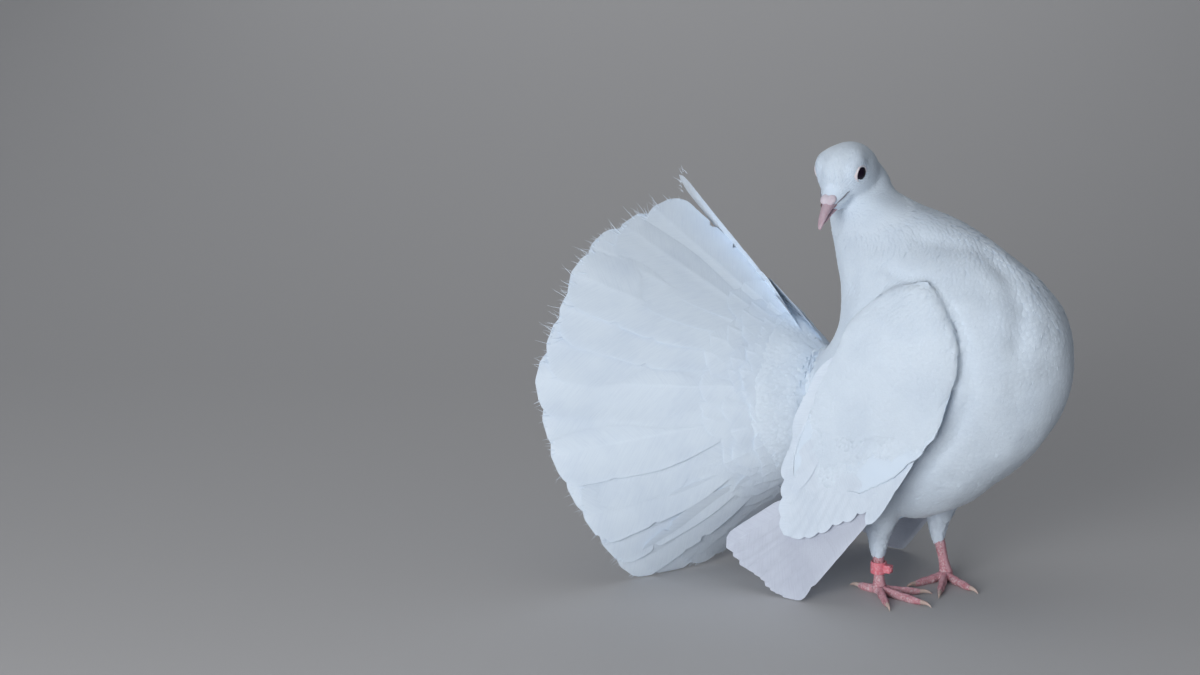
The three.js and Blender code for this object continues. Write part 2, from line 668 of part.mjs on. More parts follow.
for (const [name, side] of Object.entries(sides)) {
  const y = side * HIP_HALF_WIDTH;
  const [ankle, x] = [ANKLE_FORWARD[name], FOOT_FORWARD[name]];
  const shank = column([
    { at: point(ankle + 3, y, 78), radius: 19.5 },
    { at: point(ankle + 1.5, y, 58), radius: 16.5 },
    { at: point(ankle + 0.5, y, 44), radius: 10.6 },
    { at: point(ankle, y, 33), radius: 6.5 },
    { at: point(ankle, y, 27), radius: 5.1 },
    { at: point(ankle, y, ANKLE_HEIGHT), radius: 4.2 },
  ], 14);
  add(`shank_${name}`, geometryOf(solid(shank).subtract(fleshSwollen)), 'plumage');

  const tarsusAt = (z) => point(mix(x, ankle, (z - FOOT_HEIGHT) / (ANKLE_HEIGHT - FOOT_HEIGHT)), y, z);
  add(`tarsus_${name}`, column([
    { at: tarsusAt(ANKLE_HEIGHT - GAP), radius: TARSUS_RADIUS + 0.3 },
    { at: tarsusAt(20), radius: TARSUS_RADIUS },
    { at: tarsusAt(12), radius: TARSUS_RADIUS - 0.1 },
    { at: tarsusAt(FOOT_HEIGHT + GAP), radius: TARSUS_RADIUS + 0.4 },
  ], 12), 'scaled');

  const hub = column([
    { at: point(x, y, FOOT_HEIGHT), radius: TARSUS_RADIUS + 0.5 },
    { at: point(x, y, 4), radius: 4.2 },
    { at: point(x, y, 0), radius: 4 },
  ], 12);
  const toes = [];
  for (const toe of TOES) {
    const turn = radians(FOOT_HEADING[name] - side * toe.turn);
    const way = point(Math.cos(turn), Math.sin(turn), 0);
    const along = (distance, height) => point(x, y, height).addScaledVector(way, distance);
    const reach = toe.length + 2;
    toes.push(solid(flatSoled([
      { at: along(0.5, 3.2), radius: 2.6, tall: 2.7 },
      { at: along(reach * 0.3, 2.5), radius: 2.2, tall: 2.7 },
      { at: along(reach * 0.42, 2.1), radius: 2.5, tall: 2.5 },
      { at: along(reach * 0.62, 2.0), radius: 2.0, tall: 2.3 },
      { at: along(reach * 0.74, 1.8), radius: 2.25, tall: 2.2 },
      { at: along(reach, 1.7), radius: 1.4, tall: 1.45 },
    ], 8)));
    add(`claw_${name}_${toe.name}`, flatSoled([
      { at: along(reach + GAP, 1.75), radius: 1.15, tall: 1.3 },
      { at: along(reach + 2.6, 1.9), radius: 0.95, tall: 1.1 },
      { at: along(reach + 4.8, 1.4), radius: 0.65, tall: 0.8 },
      { at: along(reach + 6.8, 0.45), radius: 0.25, tall: 0.3 },
    ], 6), 'claw');
  }
  add(`foot_${name}`, geometryOf(joined([solid(hub), ...toes])), 'scaled');
}

// Leg ring: a moulded clip band round the right tarsus, with its catch at the front

const RING = { inner: 3.3, outer: 4.5, low: 12.4, high: 19.2 };

function ringBand() {
  const profile = [[RING.inner, RING.low], [RING.outer, RING.low + 0.4], [RING.outer, RING.high - 0.4],
    [RING.inner, RING.high], [RING.inner, RING.low]].map(([r, z]) => new THREE.Vector2(r, z));
  return new THREE.LatheGeometry(profile, 20).rotateX(Math.PI / 2);
}

const catchBlock = new THREE.BoxGeometry(4.6, 4.4, 4.2).translate(5.9, 0, (RING.low + RING.high) / 2);
const legRing = solid(ringBand()).add(solid(catchBlock));
const ringForward = mix(FOOT_FORWARD.right, ANKLE_FORWARD.right, 0.5);
add('leg_ring', geometryOf(legRing).translate(ringForward, -HIP_HALF_WIDTH, 0), 'ring');

// The model's origin: the middle of its foot print on the floor

const box = new THREE.Box3().setFromObject(bird);
const middle = box.getCenter(point(0, 0, 0));
bird.position.set(-middle.x, -middle.y, 0);

export default bird;
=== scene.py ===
import math

import bmesh
import bpy
import numpy as np
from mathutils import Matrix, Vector


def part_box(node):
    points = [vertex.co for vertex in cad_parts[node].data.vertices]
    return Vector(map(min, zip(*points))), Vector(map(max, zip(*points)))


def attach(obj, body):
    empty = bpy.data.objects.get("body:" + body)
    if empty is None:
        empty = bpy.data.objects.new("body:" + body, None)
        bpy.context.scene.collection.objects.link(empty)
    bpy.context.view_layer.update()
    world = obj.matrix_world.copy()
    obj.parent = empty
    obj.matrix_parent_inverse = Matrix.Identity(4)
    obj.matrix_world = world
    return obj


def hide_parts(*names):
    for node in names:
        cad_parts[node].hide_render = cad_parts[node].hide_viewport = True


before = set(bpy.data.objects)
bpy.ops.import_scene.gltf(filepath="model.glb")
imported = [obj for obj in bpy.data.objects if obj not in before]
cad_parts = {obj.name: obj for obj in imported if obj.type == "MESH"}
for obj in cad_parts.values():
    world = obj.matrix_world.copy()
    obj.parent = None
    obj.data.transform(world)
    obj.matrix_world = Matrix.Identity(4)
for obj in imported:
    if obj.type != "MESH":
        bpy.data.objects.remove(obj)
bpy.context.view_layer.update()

# The bird's own frame and the camera
# A white fantail pigeon stands with its head turned to its right. Lengths are in millimetres from the floor
# point between its feet, +X out of the breast and +Y to its left. Its left eye ties them to the frame.

MM = 0.001
HEAD = np.array([-38.0, -8.0, 233.0])       # middle of the skull
EYE = (9.2, 9.9, 2.7)                       # each eye from there: outward, forward, up
EYE_LOOK = (0.967, 0.14, -0.16)             # the way that it looks
EYE_RADIUS = 6.0


def in_head(out, forward, up):
    """A place on the head, which looks towards -Y."""
    return HEAD + np.array([out, -forward, up])


eye_low, eye_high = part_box("eye_left")
ORIGIN = np.array((eye_low + eye_high) / 2) - in_head(*EYE) * MM


def metres(places):
    """Millimetres in the bird's frame as metres in the scene."""
    return np.asarray(places, float) * MM + ORIGIN


def unit(vectors):
    vectors = np.asarray(vectors, float)
    return vectors / np.maximum(np.linalg.norm(vectors, axis=-1, keepdims=True), 1e-9)


def in_scene(name, data):
    """An object with this data, in the scene."""
    thing = bpy.data.objects.new(name, data)
    bpy.context.scene.collection.objects.link(thing)
    return thing


IMAGE_WIDTH, IMAGE_HEIGHT = 1200, 675
AIM = np.array([-50.0, -20.0, 110.0])       # this place on the bird
AIM_PIXEL = (816.0, 387.0)                  # is seen at this pixel of the image
VIEW_AROUND = math.radians(30.0)            # the camera stands this far round from the bird's right side
VIEW_ABOVE = math.radians(13.0)
VIEW_DISTANCE = 1300.0
PIXELS_PER_MM = 1.77

to_camera = np.array([
    math.sin(VIEW_AROUND) * math.cos(VIEW_ABOVE),
    -math.cos(VIEW_AROUND) * math.cos(VIEW_ABOVE),
    math.sin(VIEW_ABOVE),
])
level_right = np.array([math.cos(VIEW_AROUND), math.sin(VIEW_AROUND), 0.0])
focal_pixels = VIEW_DISTANCE * PIXELS_PER_MM
right_shift = (AIM_PIXEL[0] - IMAGE_WIDTH / 2) / focal_pixels
down_shift = (AIM_PIXEL[1] - IMAGE_HEIGHT / 2) / focal_pixels
look = unit(-to_camera - right_shift * level_right + down_shift * np.cross(level_right, -to_camera))
camera_data = bpy.data.cameras.new("camera")
camera_data.sensor_width = 36.0
camera_data.lens = camera_data.sensor_width * focal_pixels / IMAGE_WIDTH
camera_data.clip_start = 0.01
camera = in_scene("camera", camera_data)
camera.location = metres(AIM + VIEW_DISTANCE * to_camera)
camera.rotation_euler = Vector(look).to_track_quat("-Z", "Y").to_euler()
bpy.context.scene.camera = camera


# Skin
# One skin covers the head, neck, body, thighs, the arms of the folded wings and the fleshy root of the tail.
# It lies under the small feathers, by their depth inside the bird's outline, and has no seam.

def curve_through(rows, place):
    """Values at a place on smooth curves through rows of [place, value, value...]."""
    rows = np.asarray(rows, float)
    at = np.clip(place, rows[0, 0], rows[-1, 0])
    i = int(np.clip(np.searchsorted(rows[:, 0], at) - 1, 0, len(rows) - 2))
    span = rows[i + 1, 0] - rows[i, 0]
    t = (at - rows[i, 0]) / span

    def slope(k):
        before, after = rows[max(0, k - 1)], rows[min(len(rows) - 1, k + 1)]
        return (after[1:] - before[1:]) / (after[0] - before[0]) * span

    start, end = rows[i, 1:], rows[i + 1, 1:]
    first, second, rise = slope(i), slope(i + 1), end - start
    return start + t * first + t * t * (3 * rise - 2 * first - second) + t ** 3 * (first + second - 2 * rise)


def ease(low, high, values):
    """0 up to low, 1 from high, and smooth between."""
    t = np.clip((np.asarray(values, float) - low) / (high - low), 0, 1)
    return t * t * (3 - 2 * t)


def blend(first, second, share):
    return first + (second - first) * share


def around(sides):
    return np.linspace(0, 2 * math.pi, sides, endpoint=False)


def tube_rings(stations, count, sides, up=(0.0, 0.0, 1.0)):
    """Rings of a smooth tube through stations of (middle, half width, half height)."""
    rows = np.array([[0.0, *middle, *halves] for middle, *halves in stations])
    rows[1:, 0] = np.cumsum(np.linalg.norm(np.diff(rows[:, 1:4], axis=0), axis=1))
    points = np.array([curve_through(rows, place) for place in np.linspace(0, rows[-1, 0], count)])
    along = unit(np.gradient(points[:, :3], axis=0))
    side = unit(np.cross(along, up))
    top = np.cross(side, along)
    turns = around(sides)[None, :, None]
    half, tall = points[:, 3][:, None, None], points[:, 4][:, None, None]
    return points[:, None, :3] + half * np.cos(turns) * side[:, None] + tall * np.sin(turns) * top[:, None]


def ball_rings(middle, axes, count, sides):
    """Rings of a ball stretched along three axes, from pole to pole of the third."""
    polar = np.linspace(0.02, math.pi - 0.02, count)[:, None, None]
    turns = around(sides)[None, :, None]
    across = np.cos(turns) * axes[0] + np.sin(turns) * axes[1]
    return middle + np.sin(polar) * across + np.cos(polar) * axes[2]


def smoothed(mesh):
    mesh.polygons.foreach_set("use_smooth", np.ones(len(mesh.polygons), bool))
    return mesh


SHARP_TURN = math.radians(50)               # faces that meet at more than this show an edge


def shaped(name, places, faces, triangles=False):
    """A mesh, of triangles if so asked, whose faces point outwards and are smooth up to its sharp edges."""
    mesh = bpy.data.meshes.new(name)
    mesh.from_pydata(places, [], [tuple(map(int, face)) for face in faces])
    shape = bmesh.new()
    shape.from_mesh(mesh)
    bmesh.ops.recalc_face_normals(shape, faces=shape.faces)
    if triangles:
        bmesh.ops.triangulate(shape, faces=shape.faces)
    shape.to_mesh(mesh)
    shape.free()
    smoothed(mesh).set_sharp_from_angle(angle=SHARP_TURN)
    return mesh


def new_mesh(name, places, faces):
    """A mesh object from places in millimetres."""
    return in_scene(name, shaped(name, metres(places).tolist(), faces))


def ring_mesh(name, rings, closed=False):
    """A skin over rings of equally many points: its two ends are capped, or meet when it is closed."""
    count, sides = rings.shape[:2]
    faces = [
        (k * sides + i, k * sides + (i + 1) % sides,
         (k + 1) % count * sides + (i + 1) % sides, (k + 1) % count * sides + i)
        for k in range(count if closed else count - 1) for i in range(sides)]
    if not closed:
        faces += [tuple(reversed(range(sides))), tuple((count - 1) * sides + i for i in range(sides))]
    return new_mesh(name, rings.reshape(-1, 3), faces)


def plain_copy(piece, name):
    """A plain mesh object of a piece with its modifiers applied; the piece itself is removed."""
    bpy.context.view_layer.update()
    shape = bpy.data.meshes.new_from_object(piece.evaluated_get(bpy.context.evaluated_depsgraph_get()))
    bpy.data.objects.remove(piece)
    shape.name = name
    return in_scene(name, shape)


def joined(pieces):
    with bpy.context.temp_override(active_object=pieces[0], selected_editable_objects=pieces):
        bpy.ops.object.join()
    return pieces[0]


def grown_together(name, pieces, voxel, softening):
    """Pieces that overlap as one closed body with soft joins; voxel in millimetres."""
    body = joined(pieces)
    remesh = body.modifiers.new("one_body", "REMESH")
    remesh.mode = "VOXEL"
    remesh.voxel_size = voxel * MM
    relax = body.modifiers.new("soften", "SMOOTH")
    relax.iterations = softening
    return plain_copy(body, name)


def places_of(piece):
    """A piece's vertices in millimetres in the bird's frame."""
    flat = np.empty(len(piece.data.vertices) * 3)
    piece.data.vertices.foreach_get("co", flat)
    return (flat.reshape(-1, 3) - ORIGIN) / MM


def normals_of(piece):
    flat = np.empty(len(piece.data.vertices) * 3)
    piece.data.vertex_normals.foreach_get("vector", flat)
    return flat.reshape(-1, 3)


def put_places(piece, places):
    piece.data.vertices.foreach_set("co", metres(places).ravel())
    piece.data.update()
    smoothed(piece.data)


def distance_to_path(places, path):
    """Distance of each place from a line through points."""
    nearest = np.full(len(places), np.inf)
    for start, end in zip(path[:-1], path[1:]):
        way = end - start
        share = np.clip((places - start) @ way / (way @ way), 0, 1)[:, None]
        nearest = np.minimum(nearest, np.linalg.norm(places - start - share * way, axis=1))
    return nearest


# Torso and neck as level rings: height, front, back, half width, and how far the ring lies to the left
BODY_LEVELS = [
    [43, 8, 8, 0, 0], [49, 27, -11, 22, 0], [70, 56, -42, 37, 0], [90, 76, -60, 44.5, 0],
    [113, 89, -62, 47.5, 0], [142, 94, -46, 47, 0], [164.5, 88.5, -41, 44.5, 0], [183, 73, -45, 38, 0],
    [200, 49, -51.5, 27.5, 0], [212, 21, -54, 21, 0.5], [217, 4, -55, 19, 1], [223, -14, -57, 17.5, 2],
    [231, -21, -56, 15, 4], [244, -38, -38, 0, 4]]
SKULL = (16.0, 21.5, 18.0)                  # its half width, half length and half height


def body_rings(count=130, sides=84):
    squares = [
        [z, (front + back) / 2, ((front - back) / 2) ** 2, half ** 2, across]
        for z, front, back, half, across in BODY_LEVELS]
    rings = []
    for share in np.linspace(0.006, 0.994, count):
        rise = share - math.sin(2 * math.pi * share) / (4 * math.pi)
        z = BODY_LEVELS[0][0] + (BODY_LEVELS[-1][0] - BODY_LEVELS[0][0]) * rise
        x, length, width, y = curve_through(squares, z)
        turns = around(sides)
        rings.append(np.stack([
            x + math.sqrt(max(length, 0.01)) * np.cos(turns),
            y + math.sqrt(max(width, 0.01)) * np.sin(turns), np.full(sides, z)], 1))
    return np.array(rings)


# Places on a wing: down from the shoulder's top, forward of the middle line, height off the flank
WING_TOP = (28.0, 188.0)
WING_FALL = math.radians(66.4)
WING_DOWN = np.array([-math.cos(WING_FALL), -math.sin(WING_FALL)])
WING_FRONT = np.array([math.sin(WING_FALL), -math.cos(WING_FALL)])
ROW_SLANT = 0.45                            # how much lower a row lies for each millimetre back
FLANK = [                                   # height, half width of the body beside the wing
    [0, 58], [50, 53], [100, 49.5], [125, 48.6], [150, 46.5], [170, 43], [186, 39.5], [200, 36]]
FLANK_ROUNDING, ROUNDING_START = 0.0022, 15.0
ARM_ROWS = [                                # row, rear edge, front edge, inner height, outer height
    [2, -4, 2, 0, 1], [8, -14, 8, -4, 3.6], [18, -22, 19, -4, 6.9], [31, -26.5, 31, -4, 9.4],
    [51, -27, 42, -4, 10.4], [69, -27, 46, -2.5, 10.2], [82, -26, 48, 0.8, 9.4], [93, -25, 49, 3, 8.4],
    [112, -23, 44, 3.6, 6.6], [124, -20, 36, 3.2, 6], [134, -15, 26, 2.8, 5.3]]


def flank_at(x, z):
    """Half width of the body beside the wing, which rounds inwards towards the breast."""
    return curve_through(FLANK, z)[0] - FLANK_ROUNDING * max(0.0, x - ROUNDING_START) ** 2


def wing_point(side, down, front, height):
    x, z = np.array(WING_TOP) + down * WING_DOWN + front * WING_FRONT
    return np.array([x, side * (flank_at(x, z) + height), z])


def arm_rings(side, count=30, sides=40):
    rings = []
    for row in np.linspace(ARM_ROWS[0][0], ARM_ROWS[-1][0], count):
        rear, front, inner, outer = curve_through(ARM_ROWS, row)
        ring = []
        for turn in around(sides):
            across = (rear + front) / 2 + (front - rear) / 2 * math.cos(turn)
            height = (inner + outer) / 2 + (outer - inner) / 2 * math.sin(turn)
            ring.append(wing_point(side, row - ROW_SLANT * across, across, height))
        rings.append(ring)
    return np.array(rings)


# The tail's feathers lean out from an axis through this root and start on a ring round it
TAIL_ROOT = np.array([-42.0, 0.0, 104.0])
TAIL_ROOT_RADIUS = 17.0
TAIL_AXIS_DROP = math.radians(13.9)
TAIL_AXIS = np.array([-math.cos(TAIL_AXIS_DROP), 0.0, -math.sin(TAIL_AXIS_DROP)])
TAIL_UP = np.array([-math.sin(TAIL_AXIS_DROP), 0.0, math.cos(TAIL_AXIS_DROP)])
TAIL_LEFT = np.array([0.0, 1.0, 0.0])
TAIL_PER_SIDE = 16                          # feathers on each side of the middle one
TAIL_SPREAD = 158.0                         # degrees from the middle one to the lowest
TAIL_STEP = TAIL_SPREAD / TAIL_PER_SIDE
TAIL_FAN = [                                # degrees round, lean, length from the ring
    [0, 56.5, 150], [10, 51.5, 141], [24, 48, 149], [38, 45.6, 158], [55, 43, 159], [72, 41, 163],
    [86, 40.2, 163], [97, 40.6, 156], [110, 41.8, 152], [122, 42.4, 151], [133, 42.2, 146],
    [143, 41.2, 129], [151, 40.3, 116], [160, 39.2, 111]]
TAIL_FOLD = [                               # the left half is folded back: degrees round, and less lean
    [0, 0], [10, 4.6], [20, 8], [30, 9.8], [40, 10.2], [60, 7], [85, 2], [105, 0]]


def tail_lean(angle):
    return math.radians(curve_through(TAIL_FAN, abs(angle))[0] - curve_through(TAIL_FOLD, angle)[0])


def tail_line(angle, reach):
    """The middle line of a tail feather: degrees round the fan, left positive, and distance from the ring."""
    radius = TAIL_ROOT_RADIUS + reach * math.sin(tail_lean(angle))
    round_fan = math.radians(angle)
    return (TAIL_ROOT + reach * math.cos(tail_lean(angle)) * TAIL_AXIS
            + radius * math.cos(round_fan) * TAIL_UP + radius * math.sin(round_fan) * TAIL_LEFT)


def tail_frame(angle, reach):
    """Across the fan to its left, and out of a feather's upper face, which looks forward."""
    along = unit(tail_line(angle, reach + 1) - tail_line(angle, reach))
    near = angle if abs(angle) < 2 else angle - 1
    across = unit(tail_line(angle + 1, reach) - tail_line(near, reach))
    out = unit(np.cross(along, across))
    return across, out if np.dot(out, TAIL_AXIS) < 0 else -out


# The fleshy root of the fan: its middle and half length along the feathers, and its half thickness
ROOT_MIDDLE, ROOT_HALF_LENGTH, ROOT_HALF_THICKNESS = 30, 21, 6


def tail_root_rings(count=70, sides=20):
    rings = []
    for angle in np.linspace(-TAIL_SPREAD - 4, TAIL_SPREAD + 4, count):
        ring = []
        for turn in around(sides):
            reach = ROOT_MIDDLE + ROOT_HALF_LENGTH * math.cos(turn)
            thick = ROOT_HALF_THICKNESS * math.sin(turn) * (1 - 0.5 * math.cos(turn))
            ring.append(tail_line(angle, reach) + thick * tail_frame(angle, reach)[1])
        rings.append(ring)
    return np.array(rings)


LEGS = {                                    # side, x of the ankle, x of the foot, degrees the foot is turned
    "right": (-1, -6.0, -5.0, -8.0), "left": (1, 8.5, 13.0, -68.0)}
HIP_HALF_WIDTH = 22.5
ANKLE_HEIGHT = 24.5
FOOT_HEIGHT = 7.0
SHANK = [                                   # how far before the ankle, height, radius
    (3, 80, 18), (1.5, 58, 16.5), (0.5, 44, 10.6), (0, 33, 6.6), (0, 27, 5.2), (0, ANKLE_HEIGHT, 4.4),
    (0, 21, 2.9)]


def shank_rings(side, ankle):
    return tube_rings(
        [((ankle + before, side * HIP_HALF_WIDTH, z), radius, radius) for before, z, radius in SHANK],
        40, 40, up=(1, 0, 0))


def eye_frame(outward):
    """An eye's middle and its directions: across, up and the way that it looks."""
    gaze = unit([outward * EYE_LOOK[0], -EYE_LOOK[1], EYE_LOOK[2]])
    top = unit(np.array([0, 0, 1]) - gaze[2] * gaze)
    return in_head(outward * EYE[0], EYE[1], EYE[2]), np.array([np.cross(top, gaze), top, gaze])


FACE = [                                    # forward and up from the skull's middle, half width, half height
    (4, -3.5, 12.6, 13), (12, -8.4, 10.2, 10), (18, -12.9, 7.2, 6.6), (21.6, -15.5, 4.8, 4.2)]
EYE_SWELLING = (8.8, 8.8, 5.3)              # half sizes of the swelling that holds an eye
SWELLING_OUT = 0.25                         # how far its middle lies outside the eye's own

flesh = [
    ring_mesh("body_form", body_rings()),
    ring_mesh("skull_form", ball_rings(HEAD, np.diag(SKULL), 60, 80)),
    ring_mesh("face_form", tube_rings(
        [(in_head(0, forward, up), half, tall) for forward, up, half, tall in FACE], 40, 48)),
    ring_mesh("tail_root_form", tail_root_rings()),
]
for side, ankle, _, _ in LEGS.values():
    flesh += [ring_mesh("arm_form", arm_rings(side)), ring_mesh("shank_form", shank_rings(side, ankle))]
for outward in (1, -1):
    middle, ways = eye_frame(outward)
    flesh.append(ring_mesh("eye_swelling", ball_rings(
        middle + SWELLING_OUT * ways[2], ways * np.array(EYE_SWELLING)[:, None], 24, 32)))
skin = grown_together("skin", flesh, voxel=1.15, softening=9)

# The head begins at a slanting plane: a place on it and the way up from it
NECK_TOP, NECK_WAY = np.array([-36.0, -2.0, 219.0]), unit([-0.25, -0.45, 0.86])
skin_places = places_of(skin)
skin_normals = normals_of(skin)
above_neck = (skin_places - NECK_TOP) @ NECK_WAY

# Soft folds of the plumage: a path on the right side, its depth, its width and its share on the left side
FOLDS = [
    ([[14, -22, 204], [33, -17, 202], [46, -12, 199], [62, -13, 188], [75, -21, 170], [77, -28, 154]],
     1.9, 6.5, 0.6),
    ([[77, -30, 128], [85, -19, 133], [92, -7, 141]], 0.7, 6.5, 0.4),
    ([[-2, -33, 188], [8, -37, 186], [24, -38, 182], [43, -40, 168], [55, -42, 150], [57, -41, 126],
      [47, -40, 100], [30, -38, 80]], 1.4, 4.0, 1.0),
    ([[-22, -20, 207], [-12, -26, 196], [-6, -31, 180], [-8, -36, 165]], 0.8, 5.0, 1.0),
]
# Swellings and hollows of the face: outward, forward and up from the skull's middle, rise, reach
FACE_RELIEF = [
    (9.2, 17.4, 1.2, -0.5, 4.0),            # before the eye
    (9.2, 9.4, 9.5, 0.35, 3.5),             # over the eye
    (11.3, 7.2, 11.9, 1.3, 5.0),            # brow
    (0.0, 14.0, -16.5, 0.5, 5.0),           # throat, raised once from each side
]
EYE_RING_RISE = 0.3                         # the skin swells a little all round the lids
RIPPLES = [(38.0, 0.5), (17.0, 0.22)]       # wavelength and swing of the coat's faint unevenness

relief = np.zeros(len(skin_places))
for path, depth, width, on_left in FOLDS:
    path = np.array(path, float)
    relief -= depth * np.exp(-(distance_to_path(skin_places, path) / width) ** 2)
    relief -= depth * on_left * np.exp(-(distance_to_path(skin_places, path * [1, -1, 1]) / width) ** 2)
eye_middles = [eye_frame(outward)[0] for outward in (1, -1)]
for outward, middle in zip((1, -1), eye_middles):
    for out, forward, up, rise, reach in FACE_RELIEF:
        from_place = np.linalg.norm(skin_places - in_head(outward * out, forward, up), axis=1)
        relief += rise * np.exp(-(from_place / reach) ** 2)
    relief += EYE_RING_RISE * (1 - ease(7.0, 10.0, np.linalg.norm(skin_places - middle, axis=1)))

draw = np.random.default_rng(21)
for wavelength, swing in RIPPLES:
    ways = unit(draw.standard_normal((10, 3))) * 2 * math.pi / wavelength
    phases = draw.uniform(0, 2 * math.pi, 10)
    ripples = np.cos(skin_places @ ways.T + phases).sum(1) / math.sqrt(10)
    relief += swing * ripples * ease(10, -30, above_neck)

COAT_DEPTH = 1.3                            # of the small feathers on the body; half as deep on the head
coat_depth = COAT_DEPTH * (1 - 0.5 * ease(-12, 6, above_neck))
skin_places = skin_places + skin_normals * (relief - coat_depth)[:, None]
put_places(skin, skin_places)
skin_normals = normals_of(skin)

bpy.context.view_layer.objects.active = skin
skin.select_set(True)
bpy.ops.object.mode_set(mode="EDIT")
bpy.ops.mesh.select_all(action="SELECT")
bpy.ops.uv.smart_project(angle_limit=math.radians(66), island_margin=0.002)
bpy.ops.object.mode_set(mode="OBJECT")
skin.select_set(False)
skin.data.uv_layers[0].name = "OFBake"


def socket_of(sockets, key):
    shown = [socket for socket in sockets if socket.enabled]
    return shown[key] if isinstance(key, int) else next(socket for socket in shown if socket.name == key)


def add_node(tree, kind, settings=None, values=None):
    """A node with its settings first, then the values or links of its sockets."""
    node = tree.nodes.new(kind)
    for name, value in (settings or {}).items():
        setattr(node, name, value)
    for key, value in (values or {}).items():
        target = socket_of(node.inputs, key)
        if isinstance(value, bpy.types.NodeSocket):
            tree.links.new(value, target)
        else:
            target.default_value = value
    return node


class Signal:
    """A value that a finish's nodes work out. It takes part in sums as a number does."""

    def __init__(self, finish, socket):
        self.finish = finish
        self.socket = socket

    def maths(self, operation, *terms):
        return self.finish.node("ShaderNodeMath", {"operation": operation}, dict(enumerate(terms)))

    def __add__(self, other):
        return self.maths("ADD", self, other)

    def __sub__(self, other):
        return self.maths("SUBTRACT", self, other)

    def __rsub__(self, other):
        return self.maths("SUBTRACT", other, self)

    def __mul__(self, other):
        return self.maths("MULTIPLY", self, other)

    def __abs__(self):
        return self.maths("ABSOLUTE", self)

    __radd__ = __add__
    __rmul__ = __mul__

    def sine(self):
        return self.maths("SINE", self)

    def between(self, low, high):
        """0 at low, 1 at high, and smooth between."""
        return self.finish.node("ShaderNodeMapRange", {"interpolation_type": "SMOOTHSTEP"}, {
            "Value": self, "From Min": low, "From Max": high})


class Finish:
    """A material whose nodes are made one at a time."""

    def __init__(self, name):
        self.material = bpy.data.materials.new(name)
        self.material.use_nodes = True
        self.tree = self.material.node_tree
        self.shader = self.tree.nodes["Principled BSDF"]

    def node(self, kind, settings=None, values=None, output=0):
        plain = {
            key: value.socket if isinstance(value, Signal) else value
            for key, value in (values or {}).items()}
        return Signal(self, socket_of(add_node(self.tree, kind, settings, plain).outputs, output))

    def place(self):
        return self.node("ShaderNodeTexCoord", output="Object")

    def noise(self, scale, detail=2.0, at=None):
        """Soft noise on the piece's own coordinates, so many waves to a metre."""
        return self.node(
            "ShaderNodeTexNoise", None, {"Vector": at or self.place(), "Scale": scale, "Detail": detail})

    def mix(self, share, first, second):
        return self.node("ShaderNodeMix", {"data_type": "RGBA"}, {"Factor": share, "A": first, "B": second})

    def bump(self, height, strength, distance):
        return self.node(
            "ShaderNodeBump", None, {"Height": height, "Strength": strength, "Distance": distance})

    def set(self, **looks):
        for name, value in looks.items():
            target = self.shader.inputs[name.replace("_", " ")]
            if isinstance(value, Signal):
                self.tree.links.new(value.socket, target)
            else:
                target.default_value = value
        return self.material


BARB_DEPTH = 0.05 * MM
BARB_SLANT = 0.8                            # how far a barb runs on along the shaft for each unit across


def plumage(name, bright, shaded):
    """White feather: cool and matt, faintly mottled, with fine barbs that slant out from the shaft."""
    finish = Finish(name)
    barbs = finish.node("ShaderNodeUVMap", {"uv_map": "barbs"})
    across = finish.node("ShaderNodeSeparateXYZ", None, {0: barbs})
    along = Signal(finish, across.socket.node.outputs[1])
    run = along - abs(across) * BARB_SLANT
    lines = finish.node("ShaderNodeCombineXYZ", None, {0: run * 1.1, 1: across * 0.1})
    streaks = finish.noise(1.0, 3.0, at=lines)
    mottle = finish.noise(45.0, 3.0)
    share = mottle.between(0.38, 0.72) * 0.55 + streaks.between(0.35, 0.75) * 0.45
    return finish.set(
        Base_Color=finish.mix(share, bright, shaded),
        Roughness=0.6 + mottle * 0.2,
        Normal=finish.bump((run * 7.0).sine() * 0.25 + streaks * 1.6, 0.5, BARB_DEPTH),
        Sheen_Weight=0.2, Sheen_Roughness=0.5, Specular_IOR_Level=0.25,
        Subsurface_Weight=0.15, Subsurface_Radius=(1.0, 0.95, 0.9), Subsurface_Scale=2.5 * MM)


WHITE, WHITE_SHADED = (0.69, 0.79, 0.90, 1.0), (0.61, 0.71, 0.83, 1.0)
body_feather = plumage("body_feather", WHITE, WHITE_SHADED)
# The skin under the small feathers is all in the shaded copy of the white: painted shade for where it shows
# between them.
shaded_down = plumage("shaded_down", WHITE_SHADED, WHITE_SHADED)


def dressed(piece, finish, slot, *nodes):
    """Gives a piece its finish, says what it rides on and hides the parts that it stands for. The slot is not
    used.
    """
    piece.data.materials.clear()
    piece.data.materials.append(finish)
    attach(piece, "root")
    if nodes:
        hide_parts(*nodes)
    return piece


dressed(skin, shaded_down, "plumage", "head", "neck", "torso", "shank_right", "shank_left")


# Small feathers
# Thousands of small feathers lie over one another along the body, 2 mm long round the eyes and 14 mm on the
# breast. Each is thin, rooted in the skin and combed down on it, with loose barbs at its end.

def raw_piece(name, places, faces, **fields):
    """An unplaced mesh object for repeats, with its own fields of values at its points."""
    mesh = shaped(name, places, faces, triangles=True)
    for label, values in fields.items():
        mesh.attributes.new(label, "FLOAT", "POINT").data.foreach_set("value", np.array(values, np.float32))
    return bpy.data.objects.new(name, mesh)


